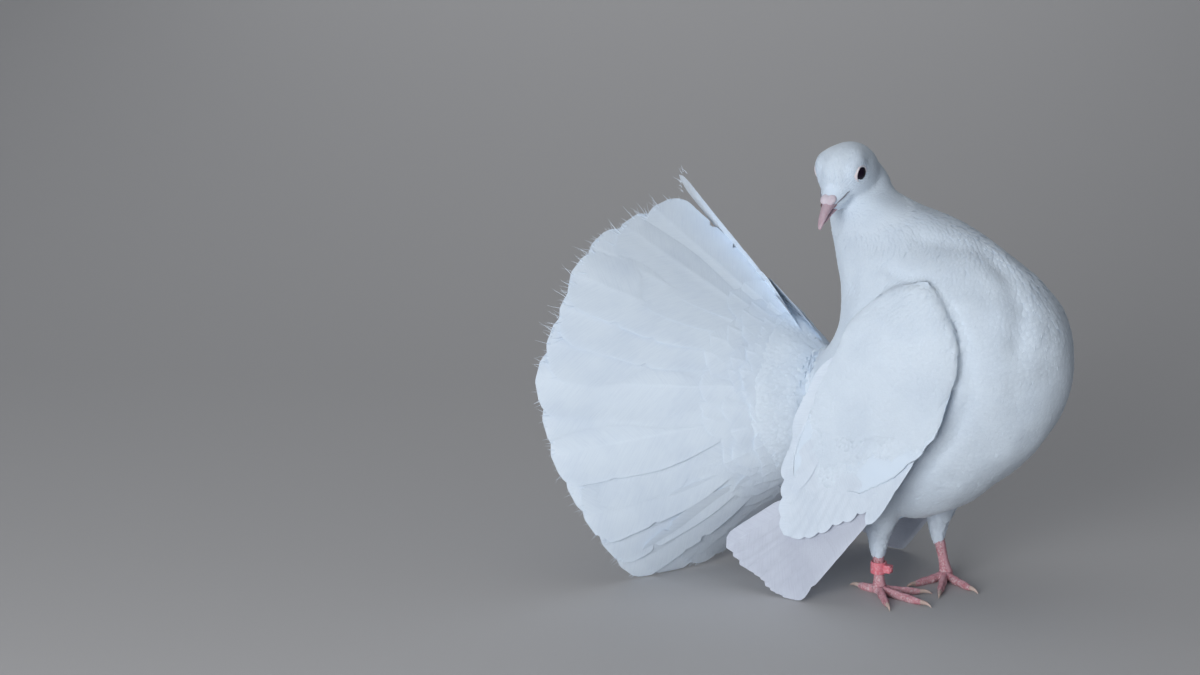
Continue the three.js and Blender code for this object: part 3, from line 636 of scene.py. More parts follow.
def small_feather(name, seed, taper, teeth):
    """A feather 1 long and 1 wide from its root at the origin along +Y, with its upper face up."""
    draw = np.random.default_rng(seed)
    rows = [(0.0, 0.14), (0.2, 0.6), (0.48, 0.96), (0.74, 0.94 - 0.4 * taper)]
    places = []
    for along, wide in rows:
        places += [
            (-wide / 2, along, -0.05 * wide), (0.0, along, 0.03 * wide), (wide / 2, along, -0.05 * wide),
            (0.0, along, -0.10 * wide)]
    faces = [(3, 2, 1, 0)]
    for k in range(len(rows) - 1):
        faces += [(4 * k + i, 4 * k + (i + 1) % 4, 4 * k + 4 + (i + 1) % 4, 4 * k + 4 + i) for i in range(4)]
    first = len(places)
    left, top, right, low = range(first - 4, first)
    spread = rows[-1][1] * (0.48 - 0.1 * taper)
    tips = 2 * teeth + 1
    for k in range(tips):
        across = spread * (k / teeth - 1)
        notch = (0.08 + 0.07 * draw.random()) * (k % 2)
        far = 1.0 - 0.42 * (abs(across) / 0.5) ** 1.8 - notch - 0.05 * draw.random()
        places.append((across, far, -0.04))
    turns = [next(k for k in range(tips) if k >= teeth * share) for share in (0.5, 1.5)]
    for k in range(tips - 1):
        faces.append((left if k < turns[0] else top if k < turns[1] else right, first + k, first + k + 1))
        faces.append((low, first + k + 1, first + k))
    faces += [(left, first + turns[0], top), (top, first + turns[1], right)]
    faces += [(left, low, first), (low, right, first + tips - 1)]
    piece = raw_piece(name, places, faces, rise=[place[2] for place in places])
    corners = [piece.data.vertices[loop.vertex_index].co[:2] for loop in piece.data.loops]
    piece.data.uv_layers.new(name="barbs").data.foreach_set("uv", np.array(corners, np.float32).ravel())
    return piece


KINDS = 4
FEATHER_PATCH = 0.003                       # each feather's size on the skin's own unwrap
feather_kinds = bpy.data.collections.new("small_feathers")
for kind in range(KINDS):
    feather_kinds.objects.link(
        small_feather(f"small_feather_{kind}", seed=11 + kind, taper=kind / KINDS, teeth=3))


class Tree:
    """A Geometry Nodes tree with named inputs, made one node at a time."""

    def __init__(self, name, inputs):
        self.group = bpy.data.node_groups.new(name, "GeometryNodeTree")
        sockets = self.group.interface
        sockets.new_socket("Geometry", in_out="INPUT", socket_type="NodeSocketGeometry")
        self.keys = {}
        for label, kind in inputs.items():
            self.keys[label] = sockets.new_socket(label, in_out="INPUT", socket_type=kind).identifier
        sockets.new_socket("Geometry", in_out="OUTPUT", socket_type="NodeSocketGeometry")
        self.entry = self.group.nodes.new("NodeGroupInput").outputs
        self.exit = self.group.nodes.new("NodeGroupOutput").inputs

    def node(self, kind, settings=None, values=None, output=0):
        return socket_of(add_node(self.group, kind, settings, values).outputs, output)

    def vector(self, operation, *terms):
        return self.node("ShaderNodeVectorMath", {"operation": operation}, dict(enumerate(terms)))

    def scaled(self, vector, length):
        return self.node(
            "ShaderNodeVectorMath", {"operation": "SCALE"}, {"Vector": vector, "Scale": length})

    def maths(self, operation, *terms):
        return self.node("ShaderNodeMath", {"operation": operation}, dict(enumerate(terms)))

    def attribute(self, name, kind="FLOAT"):
        return self.node("GeometryNodeInputNamedAttribute", {"data_type": kind}, {"Name": name})

    def random(self, low, high, seed):
        return self.node(
            "FunctionNodeRandomValue", {"data_type": "FLOAT"}, {"Min": low, "Max": high, "Seed": seed})

    def turned_to(self, upright, lie):
        """A rotation whose Z is upright and whose Y lies as nearly as it can along a vector."""
        standing = self.node("FunctionNodeAlignRotationToVector", {"axis": "Z"}, {"Vector": upright})
        return self.node("FunctionNodeAlignRotationToVector", {"axis": "Y", "pivot_axis": "Z"}, {
            "Rotation": standing, "Vector": lie})

    def beneath(self, mesh, field):
        """A mesh's field at its surface nearest to each point."""
        return self.node("GeometryNodeSampleNearestSurface", {"data_type": "FLOAT_VECTOR"}, {
            "Mesh": mesh, "Value": field, "Sample Position": self.node("GeometryNodeInputPosition")})

    def without(self, geometry, *names):
        for name in names:
            geometry = self.node("GeometryNodeRemoveAttribute", None, {"Geometry": geometry, "Name": name})
        return geometry

    def finished(self, geometry):
        dressed_geometry = self.node("GeometryNodeSetMaterial", None, {
            "Geometry": geometry, "Material": self.entry["Finish"]})
        self.group.links.new(dressed_geometry, self.exit["Geometry"])
        return self

    def grow(self, piece, name, **values):
        """The plain mesh that the tree makes from a piece and its inputs' values."""
        modifier = piece.modifiers.new("grow", "NODES")
        modifier.node_group = self.group
        for label, value in values.items():
            modifier[self.keys[label]] = value
        return plain_copy(piece, name)


def feathering_tree():
    """Scatters small feathers over a skin, turns them along its lie and combs them down on it."""
    tree = Tree("feathering", {
        "Feathers": "NodeSocketCollection", "Finish": "NodeSocketMaterial", "Spacing": "NodeSocketFloat",
        "Lift": "NodeSocketFloat", "Wander": "NodeSocketFloat", "Combed": "NodeSocketFloat",
        "Seed": "NodeSocketInt"})
    entry = tree.entry
    ground, seed = entry["Geometry"], entry["Seed"]
    scatter = add_node(tree.group, "GeometryNodeDistributePointsOnFaces", {"distribute_method": "POISSON"}, {
        "Mesh": ground, "Distance Min": entry["Spacing"], "Density Max": 6.0e6,
        "Density Factor": tree.attribute("cover"), "Seed": seed})
    laid = tree.turned_to(tree.attribute("upright", "FLOAT_VECTOR"), tree.attribute("lie", "FLOAT_VECTOR"))
    sway = tree.maths("MULTIPLY", tree.random(-1.0, 1.0, seed), entry["Wander"])
    turned = tree.node("FunctionNodeRotateRotation", {"rotation_space": "LOCAL"}, {
        "Rotation": laid, "Rotate By": tree.node("ShaderNodeCombineXYZ", None, {"Z": sway})})
    length = tree.maths(
        "MULTIPLY", tree.attribute("length"), tree.random(0.85, 1.15, tree.maths("ADD", seed, 3)))
    width = tree.maths(
        "MULTIPLY", tree.attribute("width"), tree.random(0.88, 1.12, tree.maths("ADD", seed, 5)))
    feathers = tree.node("GeometryNodeCollectionInfo", None, {
        "Collection": entry["Feathers"], "Separate Children": True, "Reset Children": True})
    kind = tree.node("FunctionNodeRandomValue", {"data_type": "INT"}, {
        "Min": 0, "Max": KINDS - 1, "Seed": tree.maths("ADD", seed, 9)})
    placed = tree.node("GeometryNodeInstanceOnPoints", None, {
        "Points": scatter.outputs["Points"], "Instance": feathers, "Pick Instance": True,
        "Instance Index": kind, "Rotation": turned,
        "Scale": tree.node("ShaderNodeCombineXYZ", None, {"X": width, "Y": length, "Z": width})})
    raised = tree.node("GeometryNodeStoreNamedAttribute", {"data_type": "FLOAT", "domain": "INSTANCE"}, {
        "Geometry": placed, "Name": "raised", "Value": tree.maths(
            "MULTIPLY", entry["Lift"], tree.random(0.8, 1.0, tree.maths("ADD", seed, 7)))})
    real = tree.node("GeometryNodeRealizeInstances", None, {"Geometry": raised})
    barbs = tree.attribute("barbs", "FLOAT_VECTOR")
    along = tree.node("ShaderNodeSeparateXYZ", None, {0: barbs}, output="Y")
    here = tree.node("GeometryNodeInputPosition")
    upward = tree.vector("NORMALIZE", tree.beneath(ground, tree.attribute("upright", "FLOAT_VECTOR")))
    height = tree.maths(
        "ADD", tree.maths("MULTIPLY", tree.attribute("rise"), tree.attribute("width")),
        tree.maths("MULTIPLY", along, tree.attribute("raised")))
    flat = tree.vector("ADD", tree.beneath(ground, here), tree.scaled(upward, height))
    combed = tree.node("GeometryNodeSetPosition", None, {
        "Geometry": real, "Position": tree.node("ShaderNodeMix", {"data_type": "VECTOR"}, {
            "Factor": entry["Combed"], "A": here, "B": flat})})
    patch = tree.vector(
        "ADD", tree.attribute("OFBake", "FLOAT_VECTOR"), tree.scaled(barbs, FEATHER_PATCH))
    unwrapped = tree.node("GeometryNodeStoreNamedAttribute", {"data_type": "FLOAT2", "domain": "CORNER"}, {
        "Geometry": combed, "Name": "OFBake", "Value": patch})
    sized = tree.vector("MULTIPLY", barbs, tree.node("ShaderNodeCombineXYZ", None, {
        "X": tree.maths("MULTIPLY", tree.attribute("width"), 1 / MM),
        "Y": tree.maths("MULTIPLY", tree.attribute("length"), 1 / MM)}))
    marked = tree.node("GeometryNodeStoreNamedAttribute", {"data_type": "FLOAT2", "domain": "CORNER"}, {
        "Geometry": unwrapped, "Name": "barbs", "Value": sized})
    return tree.finished(tree.without(marked, "lie", "upright", "length", "width", "cover", "rise", "raised"))


# Which places of the skin the wing covers, and which the tail's root
WING_FIRST_ROW, WING_LAST_ROW = 2, 133
COVERED_ROW = 124                           # from this row on, longer feathers cover the arm
x, y, z = skin_places.T
offset = np.stack([x - WING_TOP[0], z - WING_TOP[1]], 1)
down, front = offset @ WING_DOWN, offset @ WING_FRONT
row = down + ROW_SLANT * front
height = np.abs(y) - np.array([flank_at(*spot) for spot in zip(x, z)])
arm = np.array([curve_through(ARM_ROWS, value) for value in row])
from_middle = np.abs(front - (arm[:, 0] + arm[:, 1]) / 2) / ((arm[:, 1] - arm[:, 0]) / 2)
over_wing = (row > WING_FIRST_ROW) & (row < WING_LAST_ROW) & (from_middle < 1.02) & (height > -1)
on_wing = over_wing & (skin_normals[:, 1] * np.sign(y) > 0.25)
under_wing = (row > 8) & (row < 118) & (from_middle < 0.86) & (height < -1) & (height > -22)
under_coverts = on_wing & (row > COVERED_ROW)

from_root = skin_places - TAIL_ROOT
tail_axial = from_root @ TAIL_AXIS
from_axis = from_root - tail_axial[:, None] * TAIL_AXIS
on_tail = (x < -44) & (tail_axial > 2) & (np.linalg.norm(from_axis, axis=1) > 14) & (z < 168)

# The way that the small feathers lie: away from the bill and the eyes on the head, down and ever more back on
# the body, down the shanks, along the wing, and out along the fan at the tail's root
sweep = 0.12 + 0.55 * ease(205, 120, z) + 1.3 * ease(95, 55, z)
body_lie = np.stack([-sweep, np.zeros_like(x), -np.ones_like(x)], 1)
bill_root = in_head(0, 22.4, -13.4)
share = ease(2, -22, above_neck)[:, None]
lie = unit(skin_places - bill_root) * (1 - share) + unit(body_lie) * share
lie = np.where((z < 50)[:, None], np.array([-0.05, 0.0, -1.0]), lie)
lie = np.where(on_wing[:, None], np.array([WING_DOWN[0] - 0.1, 0.0, WING_DOWN[1]]), lie)
lie = np.where(on_tail[:, None], unit(from_axis) * 0.65 + TAIL_AXIS * 0.75, lie)
for middle in eye_middles:
    from_eye = skin_places - middle
    beside_eye = 1 - ease(6.0, 10.0, np.linalg.norm(from_eye, axis=1))
    lie = lie + 1.4 * beside_eye[:, None] * unit(from_eye)
lie = unit(lie - np.sum(lie * skin_normals, 1)[:, None] * skin_normals)

# How long and wide they are: longer away from the bill, down the neck, down the breast and down the wing, and
# shorter on the shanks and round the eyes
to_bill = np.linalg.norm(skin_places - bill_root, axis=1)
length = 2.3 + 3.4 * ease(4, 42, to_bill) + 4.6 * ease(4, -34, above_neck) + 3.6 * ease(205, 150, z)
length = np.where(z < 62, np.minimum(length, 4.6 + 8.0 * ease(24, 62, z)), length)
length = np.where(on_wing, 6.5 + 5.5 * ease(0, 90, row), length)
length = np.where(on_tail, 12.0, length)
for middle in eye_middles:
    length = length * (0.55 + 0.45 * ease(6.0, 12.0, np.linalg.norm(skin_places - middle, axis=1)))
slim = 0.46 - 0.14 * ease(0, -16, above_neck) * ease(160, 200, z) + 0.12 * ease(190, 130, z)
width = length * slim

# Where none grow: the tarsi, the eyes, the corners of the mouth and the bill
MOUTH_PATH = [(8.6, 14.6, -7.6), (7.7, 16.4, -9.1), (5.6, 19.8, -12.5), (3.4, 23.2, -16.4)]
BILL_PATH = [(0.0, 19.2, -10.6), (0.0, 25.4, -18.2)]
BILL_REACH, MOUTH_REACH = 5.2, 0.8          # nearer than this to each path
TARSUS_TOP = 23.0
bare = z < TARSUS_TOP
for outward, middle in zip((1, -1), eye_middles):
    bare |= np.linalg.norm(skin_places - middle, axis=1) < EYE_RADIUS + 0.1
    mouth = np.array([in_head(outward * place[0], *place[1:]) for place in MOUTH_PATH])
    bare |= distance_to_path(skin_places, mouth) < MOUTH_REACH
bare |= distance_to_path(skin_places, np.array([in_head(*place) for place in BILL_PATH])) < BILL_REACH

COATS = [                                   # piece, where, spacing, lift, wander, combed, seed
    ("coat_wing_right", on_wing & (y < 0), 1.75, 0.95, 0.10, 1.0, 8),
    ("coat_wing_left", on_wing & (y > 0), 1.75, 0.95, 0.10, 1.0, 9),
    ("coat_head", above_neck > -6, 0.98, 0.5, 0.16, 1.0, 3),
    ("coat_neck", (above_neck > -50) & (z > 150), 1.45, 1.0, 0.16, 1.0, 4),
    ("coat_thighs", z < 50, 1.3, 2.3, 0.4, 0.65, 7),
    ("coat_belly", z < 80, 2.1, 1.7, 0.24, 0.8, 10),
    ("coat_breast_right", (x > 14) & (y < 0), 2.0, 1.15, 0.12, 1.0, 5),
    ("coat_breast_left", x > 14, 2.0, 1.15, 0.12, 1.0, 6),
    ("coat_tail_root", on_tail, 2.2, 1.2, 0.16, 1.0, 12),
    ("coat_back", x <= 14, 2.0, 1.15, 0.12, 1.0, 11),
]


def put_fields(mesh, **fields):
    """Puts values at a mesh's points, one number or one vector for each."""
    for label, values in fields.items():
        values = np.asarray(values, np.float32)
        kind, key = ("FLOAT_VECTOR", "vector") if values.ndim == 2 else ("FLOAT", "value")
        mesh.attributes.new(label, kind, "POINT").data.foreach_set(key, values.ravel())


feathering = feathering_tree()
taken = bare | (over_wing & ~on_wing) | under_wing | under_coverts
for name, where, spacing, lift, wander, combed, seed in COATS:
    where = where & ~taken
    taken = taken | where
    ground = in_scene(name, skin.data.copy())
    put_fields(ground.data, cover=where, length=length * MM, width=width * MM, lie=lie, upright=skin_normals)
    coat = feathering.grow(
        ground, name, Feathers=feather_kinds, Finish=body_feather, Spacing=spacing * MM, Lift=lift * MM,
        Wander=wander, Combed=combed, Seed=seed)
    dressed(coat, body_feather, "plumage")


# Long feathers of the tail
# Thirty-three broad white feathers stand in an upright fan. Each is a horny shaft with a soft vane on both
# sides. The middle one is on top and each side lies under it in turn; shorter feathers cover their roots.

COLUMNS = np.array([-1, -0.88, -0.72, -0.52, -0.3, -0.06, 0, 0.06, 0.3, 0.52, 0.72, 0.88, 1.0])
VANE_THICKNESS = 0.16
SHAFT_HEIGHT = 0.3
RUFFLE_WIDTH = 4.6                          # the vane's edge is faintly wavy, a wave to 2 pi times this


def vane(middle, across, out, left, right, roundness, ruffle, phase, shaft=SHAFT_HEIGHT):
    """One long feather: a closed thin vane along rows of middle points, with a raised shaft.
    Gives its places, faces, barb coordinates in millimetres, and place on a unit patch."""
    rows, columns = len(middle), len(COLUMNS)
    half = np.where(COLUMNS[None, :] < 0, left[:, None], right[:, None])
    offset = COLUMNS[None, :] * half
    travelled = np.concatenate([[0], np.cumsum(np.linalg.norm(np.diff(middle, axis=0), axis=1))])
    share = (travelled / travelled[-1])[:, None]
    ridge = np.where(np.abs(COLUMNS) < 0.01, shaft, 0.0)[None, :] * (1 - 0.8 * share)
    waves = ruffle * np.sin(offset / RUFFLE_WIDTH + phase) * ease(0.72, 1.0, share)
    level = waves - offset ** 2 / (2 * roundness[:, None])
    body = VANE_THICKNESS * (1 - 0.8 * np.abs(COLUMNS[None, :]))
    flat = middle[:, None, :] + offset[..., None] * across[:, None, :]
    upper = flat + (level + ridge + body / 2)[..., None] * out[:, None, :]
    lower = flat + (level - body / 2 - ridge * 0.5)[..., None] * out[:, None, :]
    places = np.concatenate([upper.reshape(-1, 3), lower.reshape(-1, 3)])
    under = rows * columns
    faces = []
    for k in range(rows - 1):
        for i in range(columns - 1):
            a, b = k * columns + i, (k + 1) * columns + i
            faces.append((a, a + 1, b + 1, b))
            faces.append((under + a, under + b, under + b + 1, under + a + 1))
        a, b = k * columns, (k + 1) * columns
        faces.append((a, b, under + b, under + a))
        a, b = a + columns - 1, b + columns - 1
        faces.append((a, under + a, under + b, b))
    for i in range(columns - 1):
        end = (rows - 1) * columns + i
        faces.append((i, under + i, under + i + 1, i + 1))
        faces.append((end, end + 1, under + end + 1, under + end))
    along = np.broadcast_to(travelled[:, None], offset.shape)
    barbs = np.stack([offset, along], -1).reshape(-1, 2)
    spread = np.stack([
        np.broadcast_to((COLUMNS[None, :] + 1) / 4, offset.shape), np.broadcast_to(share, offset.shape)],
        -1).reshape(-1, 2)
    return places, faces, np.concatenate([barbs, barbs]), np.concatenate([spread, spread + [0.5, 0.0]])


FLOOR_CLEAR, FLOOR_BEND = 0.2, 1.5          # feathers bend along the floor below this height


def off_floor(places):
    """The same places, with those near or under the floor pressed up over it."""
    z = places[:, 2]
    reach = FLOOR_BEND - FLOOR_CLEAR
    pressed = FLOOR_CLEAR + reach * np.exp(np.minimum(z - FLOOR_BEND, 0) / reach)
    return np.column_stack([places[:, :2], np.where(z < FLOOR_BEND, pressed, z)])


def mapped_piece(name, places, faces, **maps):
    """A mesh piece with two-part values at its points, kept as UV maps."""
    piece = new_mesh(name, off_floor(places), faces)
    indices = np.empty(len(piece.data.loops), int)
    piece.data.loops.foreach_get("vertex_index", indices)
    for label, values in maps.items():
        layer = piece.data.uv_layers.new(name=label)
        layer.data.foreach_set("uv", values[indices].astype(np.float32).ravel())
    return piece


def feathers_piece(name, vanes):
    """Many vanes as one mesh, each with its own cell of the unwrap."""
    cells = math.ceil(math.sqrt(len(vanes)))
    places, faces, barbs, patches = [], [], [], []
    count = 0
    for n, (vane_places, vane_faces, vane_barbs, spread) in enumerate(vanes):
        corner = np.array([n % cells, n // cells])
        places.append(vane_places)
        faces += [tuple(count + i for i in face) for face in vane_faces]
        barbs.append(vane_barbs)
        patches.append((corner + 0.03 + 0.94 * spread) / cells)
        count += len(vane_places)
    return mapped_piece(
        name, np.concatenate(places), faces, OFBake=np.concatenate(patches), barbs=np.concatenate(barbs))


def outline(t, quill=0.16, full=0.66, rounding=0.9, point=2.4):
    """Share of a feather's full half width at shares t of its length; it has that width from full on."""
    grown = 0.07 + 0.93 * ease(quill, full, t) ** 0.8
    tip = np.clip((t - rounding) / (1 - rounding), 0, 1)
    return grown * np.sqrt(np.maximum(1 - tip ** point, 0.003))


SPLIT_DEPTH = 0.22                          # how far a split goes in, as a share of the half width


def frayed(half, draw, splits):
    """A vane's edge, a little uneven, with a few places where its barbs have come apart."""
    rows = np.arange(len(half))
    half = half * (1 + 0.004 * draw.standard_normal(len(half)))
    for _ in range(splits):
        where = draw.uniform(0.45, 1.0) * len(half)
        split = SPLIT_DEPTH * draw.uniform(0.3, 1.0) * np.clip(1 - np.abs(rows - where) / 1.2, 0, 1)
        half = half * (1 - split)
    return half


# Where a group of tail feathers ends, the next one lies this much further back: after feather, millimetres
TAIL_GAPS = [(2, 0.4), (4, 0.6), (5, 0.7), (7, 0.8), (9, 2.4), (11, 1.0), (13, 0.3)]
TAIL_SWAY = 0.5                             # each long feather bends a little forward and back on its way


def tail_level(angle, reach):
    """How far a feather's middle line lies before the plain fan."""
    back = sum(gap for after, gap in TAIL_GAPS if abs(angle) > (after + 0.3) * TAIL_STEP)
    sway = TAIL_SWAY * np.sin(reach / 21.0 + angle / 9.0)
    return sway * ease(40, 120, reach) - back * ease(35, 105, reach)


TAIL_CLEAR = 0.2                            # how far a feather's middle stands off the one under it
TAIL_RUFFLE = 0.14


def tail_vane(angle, start, length, width, lift, spacing, rows, draw, splits=2, **shape):
    """A feather of the fan; lift is its height over the long feathers at its root and at its tip."""
    outer = np.sign(angle) if abs(angle) > 0.2 else 0.0
    t = np.linspace(0, 1, rows) ** 0.85
    reach = start + (length - start) * t
    frames = [tail_frame(angle, r) for r in reach]
    across, out = np.array([f[0] for f in frames]), np.array([f[1] for f in frames])
    half = width / 2 * outline(t, **shape)
    radius = TAIL_ROOT_RADIUS + reach * math.sin(tail_lean(angle))
    tilt = TAIL_CLEAR / (radius * math.radians(spacing))
    over = lift[0] + (lift[1] - lift[0]) * ease(0, 0.9, t) + (tilt * half if outer == 0 else 0)
    middle = np.array([tail_line(angle, r) for r in reach]) + out * (over + tail_level(angle, reach))[:, None]
    slant = np.arctan(tilt * outer)[:, None]
    return vane(
        middle, across * np.cos(slant) + out * np.sin(slant), out * np.cos(slant) - across * np.sin(slant),
        frayed(half, draw, splits), frayed(half, draw, splits), roundness=radius / math.cos(tail_lean(angle)),
        ruffle=TAIL_RUFFLE * draw.uniform(0.4, 1.0), phase=draw.uniform(0, 6))


tail_feather = plumage("tail_feather", (0.70, 0.80, 0.91, 1.0), (0.62, 0.72, 0.85, 1.0))
draw = np.random.default_rng(5)
tail_lengths = {
    n: curve_through(TAIL_FAN, abs(n * TAIL_STEP))[1] + draw.uniform(-2.5, 2.5)
    for n in range(-TAIL_PER_SIDE, TAIL_PER_SIDE + 1)}
TAIL_FEATHER_START, TAIL_FEATHER_WIDTH, MIDDLE_FEATHER_WIDTH = 8, 40, 16
tail_vanes = [
    tail_vane(n * TAIL_STEP, TAIL_FEATHER_START, full, TAIL_FEATHER_WIDTH if n else MIDDLE_FEATHER_WIDTH,
              (0, 0), TAIL_STEP, rows=64, draw=draw)
    for n, full in tail_lengths.items()]
dressed(feathers_piece("tail_long_feathers", tail_vanes), tail_feather, "plumage", "tail_middle", *(
    f"tail_{side_name}_{place}" for side_name in LEGS for place in ("upper", "side", "lower")))

TAIL_COVERTS = [                            # lift at root and tip, start, reach, width, how many
    ((3.0, 0.7), 24, 68, 26, 37), ((3.2, 1.7), 20, 56, 21, 43), ((3.0, 3.2), 16, 46, 17, 49),
    ((-3.4, -0.8), 24, 72, 27, 35), ((-3.6, -2.6), 18, 52, 20, 41)]
COVERT_WANDER = 7                           # their ends wander by so much
covert_vanes = []
for lift, start, reach, wide, count in TAIL_COVERTS:
    spacing = 2 * TAIL_SPREAD / count
    for k in range(count):
        covert_vanes.append(tail_vane(
            -TAIL_SPREAD + (k + 0.5) * spacing, start, reach + draw.uniform(-COVERT_WANDER, COVERT_WANDER),
            wide, lift, spacing, rows=16, draw=draw, splits=1, quill=0.0, full=0.25, rounding=0.66))
dressed(feathers_piece("tail_coverts", covert_vanes), tail_feather, "plumage")


def loose_barbs(name, roots, ways, lengths, thickness, draw):
    """Single barbs that have come loose: thin tapered hairs from roots along ways, each a little bent."""
    places, faces, barbs, patches = [], [], [], []
    cells = math.ceil(math.sqrt(len(roots)))
    shares = (0.0, 0.35, 0.7, 1.0)
    for n, (root, way, reach) in enumerate(zip(roots, ways, lengths)):
        side = unit(np.cross(way, [0.3, -0.2, 1.0]))
        top = np.cross(side, way)
        bend = draw.uniform(-0.25, 0.25, 2) * reach
        first = len(places)
        for share in shares:
            middle = root + way * reach * share + (side * bend[0] + top * bend[1]) * share * share
            radius = thickness * (1 - 0.85 * share)
            for turn in around(3):
                places.append(middle + radius * (side * math.cos(turn) + top * math.sin(turn)))
                barbs.append((0.0, reach * share))
                spot = np.array([n % cells, n // cells]) + [0.1 + turn / 10, 0.1 + 0.8 * share]
                patches.append(spot / cells)
        for k in range(len(shares) - 1):
            a, b = first + 3 * k, first + 3 * k + 3
            faces += [(a + i, a + (i + 1) % 3, b + (i + 1) % 3, b + i) for i in range(3)]
        faces += [(first, first + 2, first + 1), (first + 9, first + 10, first + 11)]
    return mapped_piece(name, np.array(places), faces, OFBake=np.array(patches), barbs=np.array(barbs))


roots, ways, lengths = [], [], []
half_width = TAIL_FEATHER_WIDTH / 2
END_ROUNDING = 9.0                          # a feather's end falls back by this at its edges
LOOSE_BARBS, WORN_BARBS = 12, 20            # how many on each feather's end, and on a worn one's
for n, full in tail_lengths.items():
    angle = n * TAIL_STEP
    worn = -6.5 < n < 0                     # the upper feathers of the right side
    for _ in range(WORN_BARBS if worn else LOOSE_BARBS):
        sideways = draw.uniform(-0.92, 0.92)
        reach = full - 0.5 - END_ROUNDING * abs(sideways) ** 3.5
        across, out = tail_frame(angle, reach)
        along = unit(tail_line(angle, reach) - tail_line(angle, reach - 1))
        roundness = (TAIL_ROOT_RADIUS + reach * math.sin(tail_lean(angle))) / math.cos(tail_lean(angle))
        level = tail_level(angle, reach) - (sideways * half_width) ** 2 / (2 * roundness)
        roots.append(tail_line(angle, reach - 2) + across * sideways * half_width + out * level)
        astray = 0.5 * sideways + draw.uniform(-0.3, 0.3)
        ways.append(unit(along + across * astray + out * draw.uniform(-0.15, 0.3)))
        lengths.append(draw.uniform(3, 7.5) * (1.5 if worn and draw.random() < 0.35 else 0.8))
dressed(loose_barbs("tail_loose_barbs", roots, ways, lengths, thickness=0.2, draw=draw), tail_feather,
        "plumage")


# Wings
# Each wing is folded and hangs low. Twelve flight feathers of the hand lie under the twelve of the arm, and
# tiers of shorter coverts close the arm. The feathers of the hand are faintly lilac grey, and their colour is
# darkened further with painted shade, for the shadow of the tail that hangs over them.

def on_row(row, front):
    return row - ROW_SLANT * front, front


WING_CLEAR = 0.22                           # how far a feather's middle stands off the one beside it
WING_SHAFT_HEIGHT, WING_ROUNDNESS, WING_RUFFLE = 0.25, 90.0, 0.06
WING_QUILL, WING_FULL = 0.04, 0.35          # shares of its length at which its vane starts and is full


def wing_vane(side, root, tip, width, heights, step, rows, draw, settled=1.0, rounding=0.84, point=2.4):
    """A feather of the wing from root to tip, both (down, front); heights off the flank at both ends."""
    root, tip = np.array(root, float), np.array(tip, float)
    way = unit(tip - root)
    sideways = np.array([-way[1], way[0]])
    sideways = -sideways if sideways[1] < 0 else sideways
    t = np.linspace(0, 1, rows) ** 0.9
    half = width / 2 * outline(t, WING_QUILL, WING_FULL, rounding, point)
    lift = heights[0] + (heights[1] - heights[0]) * ease(0, settled, t)
    spots = root + t[:, None] * (tip - root)
    middle = np.array([wing_point(side, d, f, h) for (d, f), h in zip(spots, lift)])
    beside = np.array([
        wing_point(side, d + sideways[0], f + sideways[1], h + WING_CLEAR / step)
        for (d, f), h in zip(spots, lift)])
    across = unit(beside - middle)
    out = unit(np.cross(np.gradient(middle, axis=0), across))
    out = np.where((out[:, 1] * side < 0)[:, None], -out, out)
    return vane(
        middle, across, out, frayed(half, draw, splits=1), frayed(half, draw, splits=1),
        shaft=WING_SHAFT_HEIGHT, roundness=np.full(rows, WING_ROUNDNESS), ruffle=WING_RUFFLE,
        phase=draw.uniform(0, 6))


def wing_tier(side, count, place, wander=1.0, **looks):
    """A row of feathers from the front to the rear edge of the wing; place gives root and tip, and the
    feathers' ends wander by so many millimetres."""
    vanes = []
    for k in range(count):
        root, tip = place(k / (count - 1))
        tip = np.array(tip) + [wander * draw.uniform(-1, 1), 0.0]
        vanes.append(wing_vane(side, root, tip, draw=draw, **looks))
    return vanes


# The arm's white is a touch greyer than the body's: painted shade.
shaded_arm_feather = plumage("shaded_arm_feather", (0.68, 0.77, 0.88, 1.0), (0.60, 0.69, 0.81, 1.0))
# The hand's faint lilac grey is darkened further with painted shade, for the shadow of the tail over it.
lilac_and_shaded_hand = plumage("lilac_and_shaded_hand", (0.57, 0.62, 0.73, 1.0), (0.48, 0.52, 0.63, 1.0))
